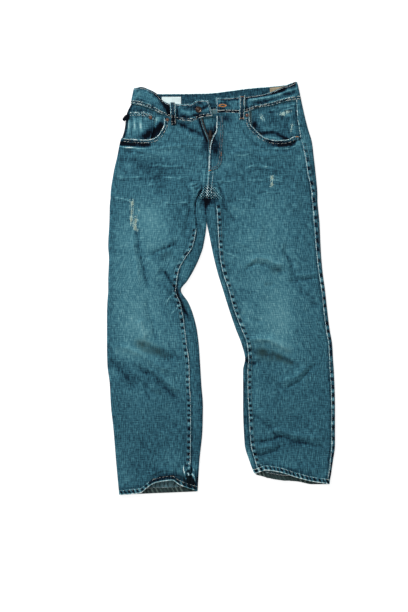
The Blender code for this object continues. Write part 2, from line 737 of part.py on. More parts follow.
def main():
    clear_scene()
    materials = make_materials()
    legs = {
        "right": Leg(
            "right", RIGHT_SECTIONS, RIGHT_HEM_FRONT, RIGHT_HEM_BACK, RIGHT_MOUTH,
            (*BAND_FRONT_RIGHT[1:], BAND_FOLD_RIGHT), RIGHT_YOKE_SEAM,
        ),
        "left": Leg(
            "left", LEFT_SECTIONS, LEFT_HEM_FRONT, LEFT_HEM_BACK, LEFT_MOUTH,
            (*BAND_FRONT_LEFT, BAND_FOLD_LEFT), LEFT_YOKE_SEAM,
        ),
    }
    front_panels(legs, materials)
    back_panels(legs, materials)
    yokes(legs, materials)
    hems(legs, materials)
    pocket_facings(legs, materials)
    coin_pocket(legs["right"], materials)
    band_top = waistband(materials)
    belt_loops(band_top, legs, materials)
    back_pockets(materials)
    fly(legs, materials)
    metal_and_labels(band_top, legs, materials)


main()
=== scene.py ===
# %% [markdown]
# # Ripped jeans, laid flat
# A worn pair of five-pocket jeans lies on its back with the front up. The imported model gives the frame:
# every piece of cloth below lies in the space that its solid holds, and only the zip's pull tab moves.
# All tables are in millimetres, with +Y towards the waist and right and left as the wearer has them.

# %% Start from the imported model
import math

import bmesh
import bpy
import numpy as np
from mathutils.bvhtree import BVHTree
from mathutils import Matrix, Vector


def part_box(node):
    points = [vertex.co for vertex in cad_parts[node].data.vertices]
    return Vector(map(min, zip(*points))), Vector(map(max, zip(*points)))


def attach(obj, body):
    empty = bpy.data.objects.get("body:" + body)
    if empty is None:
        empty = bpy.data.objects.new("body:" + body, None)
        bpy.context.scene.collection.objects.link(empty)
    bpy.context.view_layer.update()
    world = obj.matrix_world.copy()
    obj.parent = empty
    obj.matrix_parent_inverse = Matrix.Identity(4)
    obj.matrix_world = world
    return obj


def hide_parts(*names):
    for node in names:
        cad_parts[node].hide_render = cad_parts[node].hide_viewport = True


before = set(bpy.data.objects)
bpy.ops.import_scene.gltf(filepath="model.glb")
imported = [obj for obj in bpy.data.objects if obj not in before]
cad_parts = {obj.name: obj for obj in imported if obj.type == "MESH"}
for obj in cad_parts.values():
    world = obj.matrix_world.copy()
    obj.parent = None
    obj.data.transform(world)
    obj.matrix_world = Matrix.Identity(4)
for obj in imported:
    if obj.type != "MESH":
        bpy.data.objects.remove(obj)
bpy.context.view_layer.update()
MM = 0.001

# %% [markdown]
# ## Lines, distances and noise
# A garment is drawn with few points, so three helpers turn short tables into smooth shapes. `smooth` is a
# cubic that never overshoots its points, which keeps a leg's outline from bulging between two sections.
# `drawn` runs a rounded line through points, for creases and stitching, and `near` measures how far every
# point of the cloth lies from such a line. `patchy` is a soft seeded noise for the unevenness of worn cloth.

# %% Lines, distances and noise
OUT_OF_SIGHT = 1e9
NOISE_CELLS = 64


def smooth(points):
    """The value at any place between (place, value) points, smooth and without overshoot."""
    points = sorted(points)
    place = np.array([p[0] for p in points], float)
    value = np.array([p[1] for p in points], float)
    step = np.diff(place)
    slope = np.diff(value) / step
    tangent = np.zeros_like(place)
    before, after = slope[:-1], slope[1:]
    same_way = before * after > 0
    total = np.where(same_way, before + after, 1.0)
    tangent[1:-1] = np.where(same_way, 2 * before * after / total, 0.0)
    tangent[0], tangent[-1] = slope[0], slope[-1]

    def at(wanted):
        wanted = np.clip(wanted, place[0], place[-1])
        i = np.clip(np.searchsorted(place, wanted) - 1, 0, len(place) - 2)
        s = (wanted - place[i]) / step[i]
        return (
            value[i] * (2 * s**3 - 3 * s**2 + 1)
            + tangent[i] * step[i] * (s**3 - 2 * s**2 + s)
            + value[i + 1] * (3 * s**2 - 2 * s**3)
            + tangent[i + 1] * step[i] * (s**3 - s**2)
        )

    return at


def drawn(points, step=5.0):
    """A rounded line through points, sampled about every step."""
    p = np.array(points, float)
    p = np.vstack([2 * p[0] - p[1], p, 2 * p[-1] - p[-2]])
    line = [p[1:2]]
    for a, b, c, d in zip(p, p[1:], p[2:], p[3:]):
        count = max(1, int(np.linalg.norm(c - b) / step))
        s = (np.arange(count)[:, None] + 1) / count
        bend, twist = 2 * a - 5 * b + 4 * c - d, 3 * b - a - 3 * c + d
        line.append(0.5 * (2 * b + (c - a) * s + bend * s**2 + twist * s**3))
    return np.vstack(line)


def near(x, y, line, reach):
    """Distance to a line, and how far along it, for arrays of points. Beyond reach it is out of sight."""
    best, along = np.full(x.shape, OUT_OF_SIGHT), np.zeros(x.shape)
    low, high = line.min(axis=0) - reach, line.max(axis=0) + reach
    close = (x > low[0]) & (x < high[0]) & (y > low[1]) & (y < high[1])
    px, py = x[close], y[close]
    near_best, near_along = best[close], along[close]
    travelled = 0.0
    for (ax, ay), (bx, by) in zip(line, line[1:]):
        wx, wy = bx - ax, by - ay
        length = math.hypot(wx, wy)
        t = np.clip(((px - ax) * wx + (py - ay) * wy) / length**2, 0.0, 1.0)
        away = np.hypot(px - ax - t * wx, py - ay - t * wy)
        closer = away < near_best
        near_best = np.where(closer, away, near_best)
        near_along = np.where(closer, travelled + t * length, near_along)
        travelled += length
    best[close], along[close] = near_best, near_along
    return best, along


def travelled_along(line):
    """How far along a line each of its points is."""
    return np.concatenate([[0], np.cumsum(np.linalg.norm(np.diff(line, axis=0), axis=1))])


def bell(distance, width):
    """1 at no distance, fading on both sides within about twice the width."""
    return np.exp(-((distance / width) ** 2))


def rise(distance, width):
    """0 below 0, 1 above width, with soft ends."""
    s = np.clip(distance / width, 0.0, 1.0)
    return s * s * (3 - 2 * s)


def quarter_round(distance, radius):
    """The height of a rounded edge: 0 on the edge, 1 from its radius inwards."""
    return np.sqrt(1 - (1 - np.minimum(1, distance / radius)) ** 2)


def patchy(x, y, size, seed):
    """Soft noise from -1 to 1 with patches of about that size."""
    table = np.random.default_rng(seed).uniform(-1, 1, (NOISE_CELLS, NOISE_CELLS))
    u, v = np.asarray(x) / size + 17.3, np.asarray(y) / size + 9.1
    i, j = np.floor(u).astype(int), np.floor(v).astype(int)
    s, t = rise(u - i, 1.0), rise(v - j, 1.0)
    i, j, next_i, next_j = (k % NOISE_CELLS for k in (i, j, i + 1, j + 1))
    low = table[i, j] * (1 - s) + table[next_i, j] * s
    high = table[i, next_j] * (1 - s) + table[next_i, next_j] * s
    return low * (1 - t) + high * t


def ripples(along, size, seed):
    """The same noise along a line."""
    return patchy(along, 0 * along, size, seed)


def roped(along, pitch, seed):
    """The puckers along a felled seam, which washing pulls into an uneven rope: -1 to 1."""
    drift = 2.2 * ripples(along, 45.0, seed) + ripples(along, 17.0, seed + 1)
    size = 0.75 + 0.65 * ripples(along, 19.0, seed + 2)
    return np.sin(math.tau * along / pitch + drift) * size


# %% [markdown]
# ## The cut of the legs
# Each leg is a flattened ring of cloth: the front face, a rounded fold at each side and the back face. A
# row of the table is one section: the outer fold, the side seam, the inseam and the inner fold. On the
# right leg the side seam lies under the outer fold, and on the left leg it shows. The back panel turns
# over the inner fold as a strip as far as the inseam.

# %% The cut of the legs
GAP = 0.3
DENIM = 1.2
HEM_HEIGHT = 13.0
FOLD_DEPTH = 6.0
MID_SHARE = 0.45
HIP_BASE = 1.5
BAND_PROUD = 1.0
CENTRE = -36.0
SADDLE_Y = 166.0
PATCH_LOW = -434.0
PATCH_HIGH = 366.0
COLUMNS = ("y", "outer", "outseam", "inseam", "inner")
RIGHT_SECTIONS = (
    (-520, -254, -246, -78, -59),
    (-434, -262, -254, -76, -54),
    (-349, -269, -261, -75, -46),
    (-294, -275, -267, -75, -45),
    (-239, -278, -270, -78, -49),
    (-189, -284, -276, -79, -52),
    (-144, -285, -277, -85, -55),
    (-104, -285, -277, -90, -60),
    (-64, -285, -277, -95, -70),
    (-34, -284, -276, -102, -82),
    (-4, -282, -274, -112, -100),
    (19, -282, -274, -110, -84),
    (46, -281, -273, -105, -68),
    (76, -280, -272, -89, -54),
    (106, -282, -274, -70, -44),
    (166, -279, -271, -60, -36),
    (206, -278, -270, -60, -36),
    (219, -277, -269, -56, -36),
    (226, -276, -268, -43, -36),
    (229, -276, -268, -36, -36),
    (291, -268, -260, -31, -36),
    (326, -260, -252, -30, -36),
    (366, -252, -244, -30, -36),
    (376, -249, -241, -33, -36),
    (396, -243, -235, -42, -36),
    (436, -237, -229, -54, -36),
    (462, -225, -217, -58, -36),
)
LEFT_SECTIONS = (
    (-489, 271, 263, 102, 94),
    (-434, 279, 271, 86, 72),
    (-389, 285, 275, 74, 59),
    (-294, 285, 275, 68, 55),
    (-249, 284, 274, 66, 55),
    (-204, 282, 271, 66, 55),
    (-176, 280, 270, 68, 60),
    (-141, 278, 268, 65, 52),
    (-99, 271, 261, 50, 36),
    (-49, 265, 255, 31, 19),
    (-4, 260, 250, 19, 5),
    (41, 254, 243, 4, -9),
    (86, 250, 238, -4, -20),
    (146, 247, 233, -8, -32),
    (166, 246, 231, -9, -36),
    (206, 242, 228, -12, -36),
    (219, 241, 227, -16, -36),
    (226, 241, 226, -29, -36),
    (229, 241, 226, -36, -36),
    (291, 236, 215, -31, -36),
    (326, 232, 210, -30, -36),
    (366, 227, 201, -25, -36),
    (396, 218, 195, -12, -36),
    (431, 209, 190, -12, -36),
    (472, 200, 188, -12, -36),
)
HEIGHTS = ((-520, 9), (-434, 6.4), (-141, 6.4), (0, 6.6), (166, 7), (229, 7.9), (480, 7.9))
HEMS = {
    "right": {
        "front": (
            (-256, -516), (-202, -511), (-185, -498), (-172, -489), (-158, -484), (-122, -479),
            (-102, -491), (-58, -506),
        ),
        "back": ((-256, -516), (-200, -513), (-58, -507)),
    },
    "left": {
        "front": ((274, -489), (228, -482), (185, -471), (148, -459), (112, -454), (98, -458), (84, -463)),
        "back": ((274, -489), (228, -489), (190, -482), (148, -479), (92, -466), (84, -463)),
    },
}
MOUTHS = {
    "right": (
        (-244, 375), (-222, 373), (-195, 371), (-178, 372), (-165, 376), (-155, 384), (-148, 396),
        (-142, 409), (-142, 426),
    ),
    "left": (
        (198, 379), (182, 379), (168, 372), (148, 370), (128, 371), (110, 376), (98, 384), (88, 394),
        (78, 404), (72, 416), (70, 440),
    ),
}
WAISTS = {
    "right": (
        (-226, 461), (-208, 459), (-190, 454), (-172, 446), (-155, 438), (-135, 430), (-108, 419), (-75, 416),
        (-45, 426), (-20, 429),
    ),
    "left": ((201, 471), (180, 469), (152, 464), (128, 457), (92, 450), (48, 436), (16, 438), (-11, 436)),
}
YOKE_SEAMS = {"right": ((-217, 428), (-36, 388)), "left": ((188, 432), (215, 430), (-36, 388))}
FLY_EDGES = {
    "right": ((366, -30), (376, -33), (396, -42), (425, -50.7)),
    "left": ((366, -25), (379, -20), (396, -12), (430, -11)),
}
front_top = smooth(HEIGHTS)
underside = smooth(((110, 0.0), (190, HIP_BASE)))
print("sections:", len(RIGHT_SECTIONS), "right,", len(LEFT_SECTIONS), "left")

# %% [markdown]
# ## Creases
# Denim keeps the shape of the body that wore it. Each row is one crease: its half width, its height
# (a ridge is positive, a trough negative), how much paler or darker its colour is along it, and the points it
# runs through. Along a trough the darker colour is partly painted shade, and along a ridge the paler colour
# partly painted highlight, beside the real wear of the fold. Long soft rows are folds of the leg as it lies,
# and short thin pale ones are the whiskers at the hips. The hidden back of each leg takes the creases of the
# other leg's front, turned over.

# %% Creases
CREASES = {
    "right": (
        # The first row is a painted shadow, cast on the front by the raised right end of the band.
        (6.0, -2.8, -1.70, ((-116, 420), (-96, 407), (-74, 396), (-54, 386), (-40, 372))),
        (7, 1.5, 0.20, ((-110, 396), (-84, 384), (-60, 374))),
        (5, -1.2, -0.35, ((-118, 368), (-90, 354), (-60, 338))),
        (5, 1.6, 0.32, ((-200, 354), (-160, 350), (-110, 358), (-60, 352))),
        (4.5, -2.2, -1.55, ((-254, 364), (-225, 364), (-198, 362), (-168, 356))),
        (2.6, 1.8, 1.40, ((-254, 352), (-225, 351), (-205, 349))),
        (3.5, -1.8, -0.80, ((-250, 344), (-222, 341), (-196, 335), (-165, 331))),
        (16, -1.5, -0.30, ((-196, 326), (-160, 310), (-140, 290), (-170, 270))),
        (10, 1.6, 0.25, ((-268, 318), (-254, 290), (-248, 262))),
        (14, 2.4, 0.10, ((-236, 330), (-196, 338), (-150, 332))),
        (5, -1.6, -0.45, ((-98, 286), (-82, 246), (-78, 214), (-82, 180), (-88, 140), (-88, 108))),
        (5, 1.5, 0.20, ((-70, 268), (-70, 240), (-72, 200))),
        (2.0, -2.4, -2.10, ((-42, 268), (-50, 246), (-58, 230), (-63, 216), (-64, 200), (-61, 180),
                            (-59, 160), (-60, 138))),
        (5, -2.0, -0.80, ((-213, 156), (-206, 112), (-198, 68), (-188, 26), (-184, -12))),
        (7, 2.2, 0.22, ((-224, 140), (-216, 96), (-210, 50), (-202, 6))),
        (8, -2.6, -0.95, ((-182, 80), (-154, 96), (-124, 106), (-104, 124))),
        (9, 3.2, 0.35, ((-186, 78), (-168, 60), (-152, 38))),
        (7, -3.8, -1.60, ((-158, 60), (-141, 43), (-129, 25), (-117, 4), (-108, -16), (-98, -38), (-89, -58),
                          (-76, -86))),
        (12, -2.0, -0.35, ((-162, 30), (-142, 4), (-124, -26), (-106, -62))),
        (13, 4.5, 0.10, ((-122, 40), (-106, 8), (-94, -26), (-84, -52))),
        (6, -1.6, -0.50, ((-118, 56), (-112, 46), (-108, 34))),
        (1.9, 0.8, 1.45, ((-141, -36), (-127, -20), (-114, -8))),
        (1.9, 0.6, 1.06, ((-128, -66), (-112, -52), (-98, -34))),
        (9, -1.8, -0.32, ((-186, -20), (-180, -60), (-166, -110), (-150, -140))),
        (10, 2.6, 0.35, ((-206, -76), (-196, -104), (-186, -128))),
        (9, -3.6, -0.48, ((-218, -136), (-186, -145), (-160, -156), (-132, -170), (-106, -178))),
        (12, 4.2, 0.26, ((-272, -140), (-230, -150), (-190, -170), (-150, -196), (-112, -214))),
        (8.5, -3.6, -0.78, ((-286, -170), (-258, -194), (-238, -219), (-212, -252))),
        (8.5, -3.6, -0.72, ((-218, -182), (-197, -204), (-177, -214), (-152, -234), (-127, -259),
                            (-102, -279), (-88, -290))),
        (9, 3.2, 0.20, ((-190, -196), (-160, -214), (-128, -240), (-100, -262))),
        (4, -1.4, -0.50, ((-208, -222), (-190, -246), (-177, -280))),
        (8, 1.8, 0.12, ((-240, -250), (-216, -280), (-196, -310))),
        (6, -1.6, -0.45, ((-206, -374), (-177, -408), (-148, -422))),
        (8, 1.8, 0.20, ((-160, -352), (-130, -372), (-104, -396))),
        (8, -1.4, -0.25, ((-152, -296), (-120, -330), (-104, -350))),
        # The rows from here lift and crumple the right hem; their dark troughs are painted shade, with a
        # painted shadow above the hem.
        (20, 9.0, 0.05, ((-150, -492), (-98, -494))),
        (7, 2.5, 0.10, ((-196, -470), (-172, -462), (-140, -452), (-112, -456))),
        (6, 2.6, 0.20, ((-84, -440), (-92, -462), (-84, -484))),
        (3.2, -2.6, -2.1, ((-86, -434), (-83, -452), (-88, -470), (-80, -490))),
        (2.8, -2.0, -1.8, ((-75, -440), (-72, -456), (-77, -472), (-70, -488))),
        (5, -2.0, -2.4, ((-92, -474), (-78, -481), (-60, -490))),
        (4, -1.4, -0.9, ((-116, -462), (-98, -470), (-86, -474))),
        (6, 2.0, 0.10, ((-70, -446), (-64, -470), (-70, -496))),
        (1.6, 1.6, 2.9, ((-92, -436), (-93.5, -452), (-91, -466), (-87, -482))),
        (1.5, 1.4, 2.9, ((-80, -434), (-79, -450))),
        (1.5, 1.6, 3.4, ((-85, -454), (-79, -468), (-71, -463), (-66, -480))),
        (1.5, 1.2, 2.6, ((-69, -458), (-64, -474), (-62, -492))),
        (1.5, 1.0, 2.0, ((-84, -484), (-74, -478), (-66, -486))),
        (1.9, 0.7, 1.28, ((-180, 306), (-154, 307), (-126, 304), (-100, 306))),
        (1.9, 0.6, 1.10, ((-265, 277), (-240, 280), (-212, 278), (-185, 281))),
        (1.9, 0.6, 1.10, ((-155, 281), (-128, 278), (-98, 276), (-75, 281))),
        (1.9, 0.6, 0.86, ((-222, 258), (-190, 256), (-160, 260))),
        (1.9, 0.8, 1.22, ((-272, 226), (-252, 224), (-222, 217))),
        (1.9, 0.7, 1.10, ((-145, 214), (-112, 213), (-75, 217))),
        (1.9, 0.7, 0.91, ((-205, 330), (-186, 334), (-172, 326))),
    ),
    "left": (
        (4.5, -2.4, -0.95, ((-14, 268), (2, 236), (7, 210), (22, 186), (50, 166))),
        (6, 2.0, 0.22, ((4, 262), (14, 236), (22, 212), (40, 196))),
        (4, -1.3, -0.45, ((54, 328), (58, 270), (60, 212))),
        (7, 1.5, 0.20, ((20, 336), (60, 344), (110, 348), (160, 346))),
        (5, -2.2, -1.45, ((104, 369), (128, 364), (150, 362), (176, 365), (200, 373))),
        (2.6, 1.8, 1.40, ((126, 352), (152, 351), (180, 358))),
        (4, -1.4, -0.50, ((134, 345), (156, 343), (178, 350))),
        (14, 2.4, 0.06, ((10, 326), (52, 340), (104, 330), (150, 338), (200, 326))),
        (6.5, -2.8, -0.50, ((56, 40), (84, 60), (110, 59), (136, 46), (170, 41))),
        (9, 3.0, 0.25, ((62, 56), (86, 76), (114, 74), (140, 62), (170, 56))),
        (6.5, -2.8, -0.55, ((152, 106), (172, 66), (184, 26), (190, -8))),
        (6, 2.4, 0.22, ((164, 106), (183, 66), (195, 34))),
        (6, -2.6, -0.50, ((162, 18), (197, 21), (246, 28))),
        (6, 2.2, 0.30, ((180, 32), (210, 34), (242, 39))),
        (6, -2.6, -0.50, ((190, 14), (217, -19), (246, -52))),
        (6, 2.2, 0.15, ((206, 8), (230, -16), (254, -40))),
        (1.9, 0.8, 1.45, ((0, 97), (22, 85), (47, 76))),
        (9, -1.8, -0.20, ((106, 12), (119, 8), (134, 10))),
        (9, 2.0, 0.12, ((10, 150), (34, 120), (70, 104))),
        (8, -1.6, -0.18, ((40, -60), (78, -78), (110, -84))),
        (10, -4.2, -0.50, ((66, -154), (98, -161), (122, -166))),
        (6, -3.6, -0.75, ((96, -160), (126, -165), (152, -175), (196, -190))),
        (13, 6.0, 0.40, ((60, -126), (92, -126), (122, -128), (152, -144), (182, -162))),
        (5, -2.6, -1.30, ((52, -172), (66, -182), (90, -189))),
        (4, -1.8, -0.95, ((72, -200), (86, -187), (100, -179))),
        (4, 2.2, 0.40, ((58, -166), (82, -172), (102, -177))),
        (7, -2.6, -0.50, ((144, -248), (172, -244), (197, -232), (222, -204), (246, -180))),
        (9, 2.8, 0.20, ((140, -232), (168, -228), (194, -214), (216, -190))),
        (5, -1.3, -0.38, ((137, -212), (139, -250), (140, -294))),
        (5, -1.9, -0.50, ((68, -308), (102, -329), (130, -354), (144, -382))),
        (8, 1.8, 0.12, ((84, -300), (116, -318), (142, -344))),
        (7, -3.4, -0.72, ((54, -378), (110, -381), (147, -371), (197, -386), (272, -396))),
        (10, 3.6, 0.25, ((110, -362), (146, -354), (190, -366), (262, -374))),
        (7, -3.0, -0.62, ((68, -400), (92, -416), (135, -404), (160, -391))),
        (7, 2.4, 0.20, ((80, -394), (106, -398), (132, -391))),
        (8, -1.5, -0.20, ((176, -290), (198, -322), (232, -336))),
        (14, 5.0, 0.10, ((105, -462), (170, -470))),
        (10, 2.4, 0.05, ((196, -440), (230, -452), (262, -448))),
        (1.9, 0.8, 1.38, ((30, 338), (50, 331), (75, 336))),
        (1.9, 0.9, 1.45, ((58, 298), (80, 305), (106, 305), (140, 298))),
        (1.9, 0.6, 1.10, ((112, 276), (136, 279), (152, 275))),
        (1.9, 0.8, 1.38, ((62, 266), (84, 271), (110, 268))),
        (1.9, 0.8, 1.38, ((124, 268), (142, 270), (157, 267))),
        (1.9, 0.6, 1.16, ((100, 236), (126, 241), (160, 238))),
        (1.9, 0.6, 0.91, ((34, 222), (56, 224), (80, 220))),
        (1.9, 0.9, 0.97, ((-2, 272), (16, 268), (44, 274))),
        (9, 1.8, 0.06, ((190, 290), (186, 240), (196, 190))),
        (12, 2.0, 0.06, ((92, 200), (100, 150), (92, 110))),
        (8, 1.8, 0.05, ((210, 150), (206, 110), (214, 70))),
    ),
}
WAVES = ((70.0, 0.9), (32.0, 0.35), (14.0, 0.14))
# sharp folds, rubbed to a white line
RUBBED_FOLDS = {
    "right": (
        ((-92, -438), (-93.5, -452), (-91, -464)),
        ((-90, -470), (-88, -478), (-86, -486)),
        ((-80, -436), (-78.5, -444), (-77, -450)),
        ((-86, -452), (-82, -462), (-77, -468), (-71, -463), (-67, -471), (-64, -480)),
        ((-69, -450), (-67, -456)),
        ((-82, -488), (-76, -480), (-70, -484)),
    ),
    "left": (((88, -446), (94, -440), (102, -440)),),
}
# fine folds across the lap, rubbed a little paler than the cloth
WHISKER_DEPTH = 0.75
WHISKERS = {
    "right": (
        ((-250, 271), (-220, 272), (-192, 274), (-168, 273)),
        ((-210, 260), (-190, 257), (-152, 254)),
        ((-172, 212), (-152, 212)),
        ((-132, 211), (-108, 210), (-85, 209)),
        ((-210, 301), (-170, 302), (-130, 300), (-82, 301)),
        ((-97, 266), (-72, 275), (-42, 280)),
        ((-262, 218), (-246, 216), (-232, 214)),
    ),
    "left": (
        ((70, 294), (88, 298), (106, 297), (122, 294), (144, 292)),
        ((68, 259), (84, 263), (104, 266), (118, 263)),
        ((136, 261), (156, 262)),
        ((94, 240), (110, 240), (130, 237), (148, 238)),
        ((14, 280), (30, 282), (50, 284)),
        ((12, 218), (30, 219), (52, 223)),
    ),
}
print("creases:", {side: len(rows) for side, rows in CREASES.items()})
